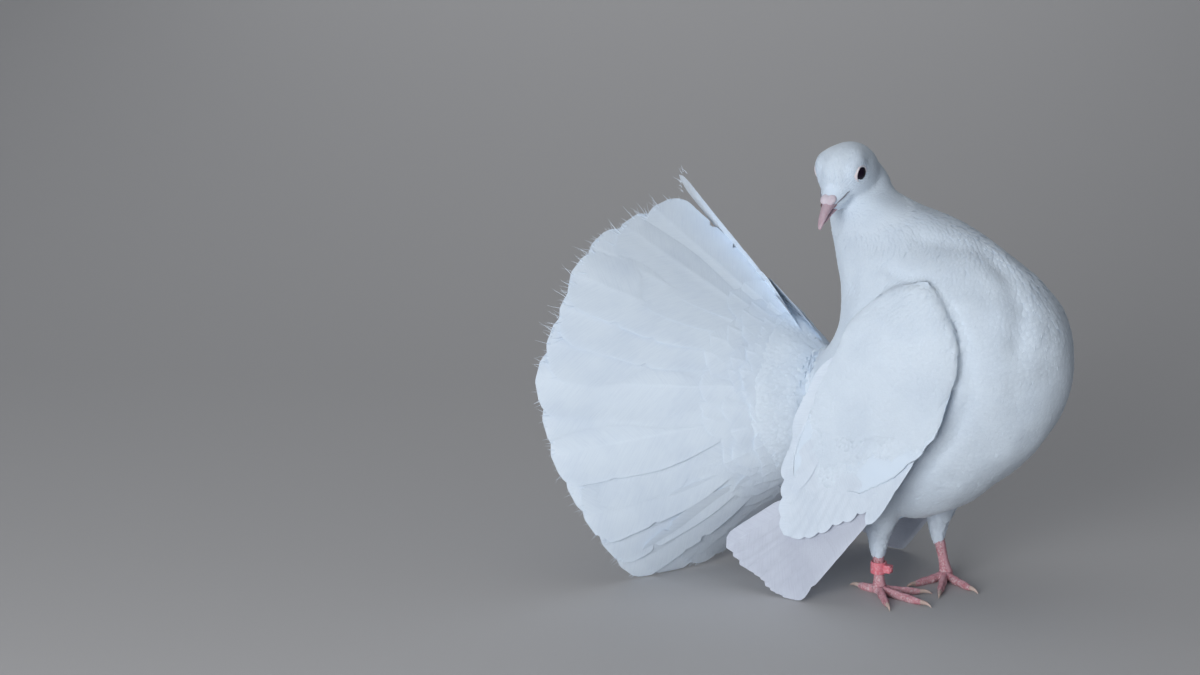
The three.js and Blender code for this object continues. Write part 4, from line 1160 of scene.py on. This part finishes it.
# Where the feathers' tips lie: share of the way from the front feather to the rear one, down, forward
PRIMARY_TIPS = [[0, 200, 11], [0.3, 202, 2], [0.55, 201, -9], [0.8, 200, -23], [1, 197, -36]]
SECONDARY_TIPS = [[0, 125, 29], [0.27, 148, 14], [0.6, 168, -5], [0.82, 152, -14], [1, 128, -19]]
for side_name, (side, *_) in LEGS.items():
    primaries = wing_tier(
        side, 12, lambda s: ((blend(76, 70, s), blend(41, 36, s)), curve_through(PRIMARY_TIPS, s)),
        width=14, heights=(4.4, 1.8), step=5.0, rows=44, settled=0.3, rounding=0.93, point=2.2)
    secondaries = wing_tier(
        side, 12, lambda s: (on_row(94, blend(26, -18, s)), curve_through(SECONDARY_TIPS, s)),
        width=15.5, heights=(4.0, 4.7), step=4.8, rows=36, settled=0.6)
    greater = wing_tier(
        side, 12, lambda s: (on_row(80, blend(28, -21, s)), on_row(blend(128, 136, s), blend(26, -18, s))),
        width=15, heights=(4.6, 4.9), step=4.6, rows=28, settled=0.8, wander=5.0)
    tertials = wing_tier(
        side, 4, lambda s: ((blend(62, 56, s), blend(-14, -22, s)), (blend(142, 116, s), blend(-14, -24, s))),
        width=15, heights=(5.0, 5.6), step=4.0, rows=34, rounding=0.75)
    hand_coverts = wing_tier(
        side, 7, lambda s: ((blend(72, 66, s), blend(40, 34, s)), (blend(134, 122, s), blend(34, 32, s))),
        width=9, heights=(3.5, 5.0), step=3.0, rows=26, rounding=0.75)
    dressed(feathers_piece(f"wing_{side_name}_primaries", primaries), lilac_and_shaded_hand, "plumage",
            f"wing_{side_name}_hand")
    dressed(feathers_piece(f"wing_{side_name}_arm_feathers", secondaries + greater + tertials
                           + hand_coverts), shaded_arm_feather, "plumage", f"wing_{side_name}_arm")


# Eyes
# Each eye is a wet, almost black ball, and sits in a ring of bare skin, its two lids. They are whitish pink,
# and close round the ball in one soft rim, which is a little wider towards the bill.

def dark_eye_finish():
    finish = Finish("dark_eye")
    depth = finish.noise(900.0, 2.0)
    return finish.set(
        Base_Color=finish.mix(depth, (0.006, 0.003, 0.009, 1.0), (0.013, 0.007, 0.018, 1.0)),
        Roughness=0.1, Specular_IOR_Level=0.16)


def bare_skin_finish(name, dark, light):
    """Bare skin with fine grain and a dusting of powder."""
    finish = Finish(name)
    grain = finish.noise(2600.0, 3.0)
    powder = finish.noise(420.0, 2.0)
    return finish.set(
        Base_Color=finish.mix(powder.between(0.3, 0.7) * 0.7 + grain * 0.3, dark, light),
        Roughness=0.5 + powder * 0.2, Normal=finish.bump(grain, 0.6, 0.12 * MM),
        Subsurface_Weight=0.15, Subsurface_Radius=(1.0, 0.6, 0.5), Subsurface_Scale=1.2 * MM)


dark_eye = dark_eye_finish()
lid_skin = bare_skin_finish("eye_ring_skin", (0.68, 0.62, 0.67, 1.0), (0.82, 0.76, 0.80, 1.0))
LID_OPENING = math.radians(38.5)            # from the way that the eye looks to the lids' rim
LID_EDGE = math.radians(82)                 # and to where they go under the small feathers
LID_INSIDE, LID_THICKNESS = EYE_RADIUS + 0.03, 0.42
LID_HEIGHTENED, LID_CORNER = 0.17, 0.05     # how much wider they open up and down, and towards the bill
LID_BEADS = 13                              # faint beads all round the rim
for eye_name, outward, middle in (("left", 1, eye_middles[0]), ("right", -1, eye_middles[1])):
    ways = eye_frame(outward)[1]
    side, top, gaze = ways
    ball = ring_mesh(f"eye_{eye_name}_ball", ball_rings(middle, EYE_RADIUS * ways, 40, 56))
    dressed(ball, dark_eye, "eye", f"eye_{eye_name}")
    rings = []
    for turn in around(72):
        away = side * math.cos(turn) + top * math.sin(turn)
        corner = LID_CORNER * max(0.0, -outward * math.cos(turn)) ** 8
        opening = LID_OPENING * (1 + LID_HEIGHTENED * math.sin(turn) ** 2 + corner)
        lid_thickness = LID_THICKNESS * (1 + 0.08 * math.cos(LID_BEADS * turn + outward))
        inside = [(LID_INSIDE, spread) for spread in np.linspace(LID_EDGE, opening, 7)]
        rim = [
            (LID_INSIDE + lid_thickness * (0.5 - 0.5 * math.cos(bend)),
             opening - 0.5 * lid_thickness / EYE_RADIUS * math.sin(bend))
            for bend in np.linspace(0, math.pi, 7)[1:-1]]
        outside = [
            (LID_INSIDE + lid_thickness * (1 - 0.4 * ease(0.1, 0.5, spread - opening)), spread)
            for spread in np.linspace(opening, LID_EDGE, 9)]
        rings.append([
            middle + radius * (gaze * math.cos(spread) + away * math.sin(spread))
            for radius, spread in inside + rim + outside])
    dressed(ring_mesh(f"eye_{eye_name}_lids", np.array(rings), closed=True), lid_skin, "cere")


# Bill and cere
# The bill is pale pink horn, its upper half hooked over the lower one. At its root two powdery swellings of
# bare skin, the cere, cover the nostrils. A dark grey line, painted shade for the crease at the mouth's
# corner, runs back from it.

def bill_rings(rows, count=44, sides=36, culmen=0.0):
    """Rings of half a bill: rows of half width, then forward and up of its top and of its underside."""
    rows = np.array([[k, *values] for k, values in enumerate(rows)], float)
    turns = around(sides)
    ridge = 1 + culmen * np.exp(-(np.cos(turns) / 0.3) ** 2)
    share = 0.5 + 0.5 * np.sin(turns) * ridge
    narrow = np.sign(np.cos(turns)) * np.abs(np.cos(turns)) ** 0.85
    rings = []
    for place in np.linspace(0, len(rows) - 1, count):
        half, top_forward, top_up, low_forward, low_up = curve_through(rows, place)
        rings.append(np.stack([
            HEAD[0] + half * narrow, HEAD[1] - blend(low_forward, top_forward, share),
            HEAD[2] + blend(low_up, top_up, share)], 1))
    return np.array(rings)


def horn_finish(name, pale, deep):
    """Horn: satin, with fine growth lines along it."""
    finish = Finish(name)
    stretched = finish.node("ShaderNodeVectorMath", {"operation": "MULTIPLY"}, {
        0: finish.place(), 1: (1.0, 0.25, 0.25)})
    lines = finish.noise(2200.0, 3.0, at=stretched)
    clouds = finish.noise(240.0, 2.0)
    return finish.set(
        Base_Color=finish.mix(clouds.between(0.35, 0.65) * 0.6 + lines * 0.4, pale, deep),
        Roughness=0.36 + clouds * 0.2, Normal=finish.bump(lines, 0.5, 0.1 * MM),
        Subsurface_Weight=0.2, Subsurface_Radius=(1.0, 0.5, 0.45), Subsurface_Scale=1.5 * MM)


horn = horn_finish("bill_horn", (0.50, 0.39, 0.45, 1.0), (0.38, 0.27, 0.33, 1.0))
UPPER_BILL = [                              # half width, top forward and up, underside forward and up
    (3.9, 17.4, -7.6, 13.9, -13.1), (3.9, 21.9, -11.4, 17.9, -15.1), (3.0, 26.1, -16.1, 22.3, -18.1),
    (2.35, 29.2, -20.9, 26.8, -21.6), (1.5, 31, -25, 29.7, -25.6), (0.7, 31.4, -27.2, 30.7, -27.6)]
LOWER_BILL = [
    (3.55, 13.3, -13.8, 13.9, -17.1), (3.39, 17.4, -15.7, 18, -18.7), (2.6, 21.9, -18.7, 21.9, -20.7),
    (1.77, 26.2, -22.2, 25.6, -23.4), (0.4, 28.9, -25.1, 28.6, -25.4)]
dressed(ring_mesh("bill_upper_horn", bill_rings(UPPER_BILL, culmen=0.06)), horn, "bill", "bill_upper")
dressed(ring_mesh("bill_lower_horn", bill_rings(LOWER_BILL)), horn, "bill", "bill_lower")

cere_skin = bare_skin_finish("cere_skin", (0.54, 0.48, 0.56, 1.0), (0.66, 0.60, 0.67, 1.0))
CERE_PLACE = (1.6, 22.1, -11.9)             # each swelling's middle: outward, forward, up
CERE_HALF = (3.2, 3.6, 1.9)                 # its half width, half length and half height
CERE_TURN = math.radians(46)                # it slopes with the bill
cere_axes = np.array(CERE_HALF)[:, None] * [
    [1, 0, 0], [0, math.cos(CERE_TURN), math.sin(CERE_TURN)], [0, -math.sin(CERE_TURN), math.cos(CERE_TURN)]]
swellings = [
    ring_mesh("swelling", ball_rings(in_head(outward * CERE_PLACE[0], *CERE_PLACE[1:]), cere_axes, 24, 32))
    for outward in (1, -1)]
dressed(grown_together("cere_swellings", swellings, voxel=0.22, softening=14), cere_skin, "cere", "cere")

# Each nostril is a thin dark tube of painted shade, for the opening under the cere.
nostril_slit_shade = bare_skin_finish("nostril_shade", (0.16, 0.09, 0.11, 1.0), (0.24, 0.15, 0.17, 1.0))
# The mouth's corner is a thin dark grey line of painted shade, for the crease where the halves of the bill
# meet.
mouth_crease_shade = bare_skin_finish("mouth_corner_shade", (0.13, 0.14, 0.18, 1.0), (0.26, 0.26, 0.31, 1.0))
NOSTRIL = [(4.6, 20.8, -13.8, 0.15), (4.4, 22.2, -15.2, 0.38), (3.6, 23.6, -16.5, 0.12)]
for outward, side_name in ((1, "left"), (-1, "right")):
    slit = tube_rings(
        [(in_head(outward * out, forward, up), half, half) for out, forward, up, half in NOSTRIL], 14, 12)
    dressed(ring_mesh(f"nostril_{side_name}", slit), nostril_slit_shade, "cere")
    path = [[k, *in_head(outward * place[0], *place[1:])] for k, place in enumerate(MOUTH_PATH)]
    line = []
    for place in np.linspace(0, len(path) - 1, 24):
        nearest = int(np.argmin(np.linalg.norm(skin_places - curve_through(path, place), axis=1)))
        line.append(skin_places[nearest] + 0.12 * skin_normals[nearest])
    line = np.array(line)
    for _ in range(6):
        line[1:-1] = (line[:-2] + 2 * line[1:-1] + line[2:]) / 4
    swell = np.sin(np.linspace(0, math.pi, len(line)))
    stations = [(spot, 0.15 + 0.4 * full, 0.1 + 0.2 * full) for spot, full in zip(line, swell)]
    dressed(ring_mesh(f"mouth_corner_{side_name}", tube_rings(stations, 40, 12)), mouth_crease_shade, "cere")


# Legs and toes
# The tarsus and the four toes are bare pinkish red skin, soft pads below, with rows of horny plates down the
# front and along the top of each toe. Each toe ends in a pale curved claw.

TOES = {                                    # degrees from the way that the foot points, and length
    "inner": (42, 21.0), "middle": (0, 27.0), "outer": (-42, 22.0), "hind": (176, 12.5)}
TARSUS = [(26, 3.0), (22.5, 3.1), (19, 2.85), (12, 2.75), (8, 3.2), (4.5, 3.9), (1.2, 3.6)]
TOE_ROOT = (0.5, 3.2, 2.6, 2.7)             # distance from the tarsus, height, half width, half height
TOE = [                                     # the same from there on, the distance as a share of the toe
    (0.18, 2.7, 2.2, 2.6), (0.3, 2.4, 2.0, 2.4), (0.42, 2.2, 2.4, 2.45), (0.54, 2.0, 1.9, 2.2),
    (0.64, 2.0, 1.9, 2.2), (0.75, 1.9, 2.2, 2.15), (0.88, 1.75, 1.6, 1.8), (1, 1.7, 1.35, 1.4)]
CLAW = [                                    # the same, the distance from the toe's end
    (-1.2, 1.8, 1.05, 1.15), (0.8, 2.0, 1.1, 1.3), (2.8, 2.0, 0.9, 1.1), (4.8, 1.55, 0.6, 0.78),
    (6.1, 0.9, 0.32, 0.45), (6.9, 0.3, 0.1, 0.14)]
PLATE_LENGTH, PLATE_STEP = 2.3, 2.1
PLATES_TOP, PLATES_LOW = 21.6, 6.0
TARSUS_FRONT, TARSUS_PLATE_WIDTH = 2.9, 5.2
CLAW_ROOT = 2                               # the toe's end reaches so far round the claw
TOE_TOP, TOE_PLATE_WIDTH, TOE_PLATE_TAPER = 4.6, 3.9, 1.3


def leg_skin_finish():
    """Pinkish red skin under fine net-like scales, dusted with pale flakes."""
    finish = Finish("leg_skin")
    scales = finish.node("ShaderNodeTexVoronoi", {"feature": "DISTANCE_TO_EDGE"}, {
        "Vector": finish.place(), "Scale": 1100.0})
    flakes = finish.noise(900.0, 3.0).between(0.46, 0.64)
    clouds = finish.noise(150.0, 2.0)
    skin_colour = finish.mix(clouds.between(0.3, 0.7), (0.46, 0.17, 0.21, 1.0), (0.60, 0.31, 0.36, 1.0))
    return finish.set(
        Base_Color=finish.mix(flakes * 0.65, skin_colour, (0.72, 0.60, 0.64, 1.0)),
        Roughness=0.55 + flakes * 0.2,
        Normal=finish.bump(scales.between(0.0, 0.12) + flakes * 0.4, 0.8, 0.15 * MM),
        Subsurface_Weight=0.12, Subsurface_Radius=(1.0, 0.35, 0.3), Subsurface_Scale=1.0 * MM)


def plates_tree():
    """Lays horny plates on a leg at given points, one over the next, and bends them round it."""
    tree = Tree("leg_plates", {
        "Plate": "NodeSocketObject", "Leg": "NodeSocketObject", "Finish": "NodeSocketMaterial",
        "Raised": "NodeSocketFloat", "Seed": "NodeSocketInt"})
    entry = tree.entry
    leg, plate = (
        tree.node("GeometryNodeObjectInfo", {"transform_space": "ORIGINAL"}, {"Object": entry[name]},
                  output="Geometry") for name in ("Leg", "Plate"))
    laid = tree.turned_to(tree.attribute("upright", "FLOAT_VECTOR"), tree.attribute("lie", "FLOAT_VECTOR"))
    uneven = tree.random(0.9, 1.1, entry["Seed"])
    placed = tree.node("GeometryNodeInstanceOnPoints", None, {
        "Points": entry["Geometry"], "Instance": plate, "Rotation": laid,
        "Scale": tree.node("ShaderNodeCombineXYZ", None, {
            "X": tree.maths("MULTIPLY", tree.attribute("width"), uneven), "Y": tree.attribute("length"),
            "Z": tree.attribute("length")})})
    real = tree.node("GeometryNodeRealizeInstances", None, {"Geometry": placed})
    height = tree.maths("MULTIPLY", tree.attribute("rise"), entry["Raised"])
    upward = tree.vector("NORMALIZE", tree.beneath(leg, tree.node("GeometryNodeInputNormal")))
    surface = tree.beneath(leg, tree.node("GeometryNodeInputPosition"))
    bent = tree.node("GeometryNodeSetPosition", None, {
        "Geometry": real, "Position": tree.vector("ADD", surface, tree.scaled(upward, height))})
    return tree.finished(tree.without(bent, "lie", "upright", "length", "width", "rise"))


def plate_form(columns=7, rows=5):
    """A plate 1 wide and 1 long whose far edge is raised: a closed thin shield."""
    places, rise = [], []
    for under in (0, 1):
        for along in np.linspace(-0.5, 0.62, rows):
            for across in np.linspace(-0.5, 0.5, columns):
                rim = 1 - (2 * abs(across)) ** 4
                places.append((across, along * (0.82 + 0.18 * rim), 0.02 * (1 - under)))
                rise.append(-0.5 if under else (0.25 + 0.75 * ease(-0.5, 0.6, along)) * rim)
    under = rows * columns
    faces = []
    for k in range(rows - 1):
        for i in range(columns - 1):
            a, b = k * columns + i, (k + 1) * columns + i
            faces += [(a, a + 1, b + 1, b), (under + a, under + b, under + b + 1, under + a + 1)]
    edge = (list(range(columns)) + [k * columns + columns - 1 for k in range(1, rows)]
            + [(rows - 1) * columns + i for i in range(columns - 2, -1, -1)]
            + [k * columns for k in range(rows - 2, 0, -1)])
    faces += [(a, under + a, under + b, b) for a, b in zip(edge, edge[1:] + edge[:1])]
    return raw_piece("leg_plate", places, faces, rise=rise)


leg_skin = leg_skin_finish()
plate_skin = horn_finish("leg_plate_horn", (0.62, 0.37, 0.42, 1.0), (0.50, 0.22, 0.27, 1.0))
claw_horn = horn_finish("claw_horn", (0.62, 0.50, 0.45, 1.0), (0.42, 0.31, 0.28, 1.0))
leg_plate = plate_form()
plates = plates_tree()
for side_name, (side, ankle, foot, heading) in LEGS.items():
    y = side * HIP_HALF_WIDTH

    def tarsus_at(z):
        return np.array([blend(foot, ankle, (z - FOOT_HEIGHT) / (ANKLE_HEIGHT - FOOT_HEIGHT)), y, z])

    leg_forms = [ring_mesh("tarsus_form", tube_rings(
        [(tarsus_at(z), radius, radius) for z, radius in TARSUS], 48, 28, up=(1, 0, 0)))]
    spots, uprights, lies, sizes = [], [], [], []
    for z in np.arange(PLATES_TOP, PLATES_LOW, -PLATE_STEP):
        spots.append(tarsus_at(z) + [TARSUS_FRONT, 0, 0])
        uprights.append([1.0, 0.0, 0.0])
        lies.append([0.0, 0.0, -1.0])
        sizes.append((TARSUS_PLATE_WIDTH, PLATE_LENGTH))
    for toe_name, (turn, long) in TOES.items():
        bearing = math.radians(heading - side * turn)
        way = np.array([math.cos(bearing), math.sin(bearing), 0.0])

        def along(distance, height, *halves):
            return (np.array([foot, y, height]) + way * distance, *halves)

        reach = long + CLAW_ROOT
        leg_forms.append(ring_mesh("toe_form", tube_rings(
            [along(*TOE_ROOT)] + [along(reach * share, *rest) for share, *rest in TOE], 60, 24)))
        count = max(5, round(reach / 2.2))
        for k in range(count):
            share = (k + 0.9) / (count + 0.2)
            spots.append(along(reach * share, TOE_TOP)[0])
            uprights.append([0.0, 0.0, 1.0])
            lies.append(way)
            sizes.append((TOE_PLATE_WIDTH - TOE_PLATE_TAPER * share, PLATE_LENGTH))
        claw = tube_rings([along(reach + past, *rest) for past, *rest in CLAW], 30, 18)
        claw[..., 2] = np.maximum(claw[..., 2], 0.0)
        dressed(ring_mesh(f"claw_{side_name}_{toe_name}_horn", claw), claw_horn, "claw",
                f"claw_{side_name}_{toe_name}")
    leg = grown_together(f"leg_{side_name}_skin", leg_forms, voxel=0.34, softening=3)
    leg_places = places_of(leg)
    leg_places[:, 2] = np.maximum(leg_places[:, 2], 0.0)
    put_places(leg, leg_places)
    ground = in_scene("plate_spots", bpy.data.meshes.new("plate_spots"))
    ground.data.from_pydata(metres(spots).tolist(), [], [])
    sizes = np.array(sizes) * MM
    put_fields(ground.data, upright=uprights, lie=lies, width=sizes[:, 0], length=sizes[:, 1])
    shields = plates.grow(
        ground, f"leg_{side_name}_plates", Plate=leg_plate, Leg=leg, Finish=plate_skin, Raised=0.32 * MM,
        Seed=2)
    dressed(leg, leg_skin, "leg_skin", f"tarsus_{side_name}", f"foot_{side_name}")
    dressed(shields, plate_skin, "leg_skin")


# Leg ring
# A pinkish red clip of moulded plastic sits loosely round the right tarsus. Its band is closed by a blocky
# catch in front, which has a smaller block on it.

RING_INNER, RING_OUTER = 3.35, 4.5
RING_LOW, RING_HIGH = 12.4, 19.2
RING_ROUNDING = 0.35
CATCH_BLOCKS = [                            # height of the underside and the top, near, far, half width
    (13.6, 18.0, 3.9, 8.1, 2.1), (14.6, 17.0, 4.2, 8.6, 1.2)]


def plastic_finish():
    finish = Finish("ring_plastic")
    wear = finish.noise(700.0, 3.0)
    return finish.set(
        Base_Color=finish.mix(wear.between(0.45, 0.75), (0.66, 0.17, 0.22, 1.0), (0.74, 0.40, 0.45, 1.0)),
        Roughness=0.28 + wear * 0.3, Normal=finish.bump(wear, 0.3, 0.06 * MM))


side, ankle, foot, _ = LEGS["right"]
ring_middle = np.array([(ankle + foot) / 2, side * HIP_HALF_WIDTH, 0.0])
profile = []
for quarter, (radius, level) in enumerate((
        (RING_OUTER, RING_HIGH), (RING_INNER, RING_HIGH), (RING_INNER, RING_LOW), (RING_OUTER, RING_LOW))):
    inward = RING_ROUNDING if radius == RING_INNER else -RING_ROUNDING
    upward = RING_ROUNDING if level == RING_LOW else -RING_ROUNDING
    for step in range(5):
        bend = math.pi / 2 * (quarter + step / 4)
        profile.append((radius + inward + RING_ROUNDING * math.cos(bend),
                        level + upward + RING_ROUNDING * math.sin(bend)))
band = np.array([
    [ring_middle + np.array([r * math.cos(turn), r * math.sin(turn), z]) for r, z in profile]
    for turn in around(72)])
ring_parts = [ring_mesh("leg_ring_band", band, closed=True)]
for low, high, near, far, half in CATCH_BLOCKS:
    block = bmesh.new()
    bmesh.ops.create_cube(block, size=1.0)
    for vertex in block.verts:
        place = np.array([
            blend(near, far, vertex.co.x + 0.5), 2 * half * vertex.co.y, blend(low, high, vertex.co.z + 0.5)])
        vertex.co = Vector(metres(ring_middle + place))
    bmesh.ops.bevel(block, geom=block.edges[:], offset=0.4 * MM, segments=3, affect="EDGES", profile=0.6)
    mesh = bpy.data.meshes.new("leg_ring_catch")
    block.to_mesh(mesh)
    block.free()
    ring_parts.append(in_scene("leg_ring_catch", smoothed(mesh)))
dressed(joined(ring_parts), plastic_finish(), "ring", "leg_ring")


# Floor and light
# A plain grey sheet lies under the bird and rises behind it in one wide curve. Of four large soft lamps the
# strongest stands beside the camera, one under it near the floor, one over the bird and one behind it.

floor_look = Finish("floor").set(Base_Color=(0.48, 0.48, 0.49, 1.0), Roughness=0.85)
SHEET_HALF_WIDTH = 7000.0
SHEET_NEAR, SHEET_FAR = 5000.0, 500.0       # the flat part, towards the camera and away from it
SHEET_CURVE, SHEET_TOP = 2400.0, 6000.0
away = -unit([to_camera[0], to_camera[1], 0.0])
profile = [(-SHEET_NEAR, 0.0)]
for turn in np.linspace(0, math.pi / 2, 24):
    profile.append((SHEET_FAR + SHEET_CURVE * math.sin(turn), SHEET_CURVE * (1 - math.cos(turn))))
profile.append((SHEET_FAR + SHEET_CURVE, SHEET_TOP))
edges = [
    [sideways * SHEET_HALF_WIDTH * level_right + distance * away + [0, 0, height] for sideways in (-1, 1)]
    for distance, height in profile]
sheet = in_scene("floor", bpy.data.meshes.new("floor"))
sheet.data.from_pydata(
    metres(np.concatenate(edges)).tolist(), [],
    [(2 * k, 2 * k + 1, 2 * k + 3, 2 * k + 2) for k in range(len(profile) - 1)])
smoothed(sheet.data)
sheet.data.materials.append(floor_look)


def lamp(name, place, size, power):
    """A square lamp at a place in millimetres, aimed at the bird; its size is in metres."""
    data = bpy.data.lights.new(name, "AREA")
    data.shape = "SQUARE"
    data.size = size
    data.energy = power
    light = in_scene(name, data)
    light.location = metres(place)
    light.rotation_euler = Vector(metres(AIM) - metres(place)).to_track_quat("-Z", "Y").to_euler()


LOW_LAMP_HEIGHT = 50.0
lamp("key_lamp", AIM + 1500 * (0.95 * to_camera - 0.4 * level_right), size=0.8, power=12.5)
lamp("low_lamp", AIM - 1300 * (0.9 * away + 0.4 * level_right) - [0, 0, AIM[2] - LOW_LAMP_HEIGHT],
     size=0.8, power=7.5)
lamp("sky_lamp", (-300, -200, 2100), size=1.8, power=5)
lamp("back_lamp", (-1000, 1300, 900), size=1.4, power=4)
world = bpy.data.worlds.new("studio")
world.use_nodes = True
world.node_tree.nodes["Background"].inputs["Color"].default_value = (0.86, 0.90, 0.96, 1.0)
world.node_tree.nodes["Background"].inputs["Strength"].default_value = 0.22
bpy.context.scene.world = world
bpy.context.scene.view_settings.view_transform = "Standard"
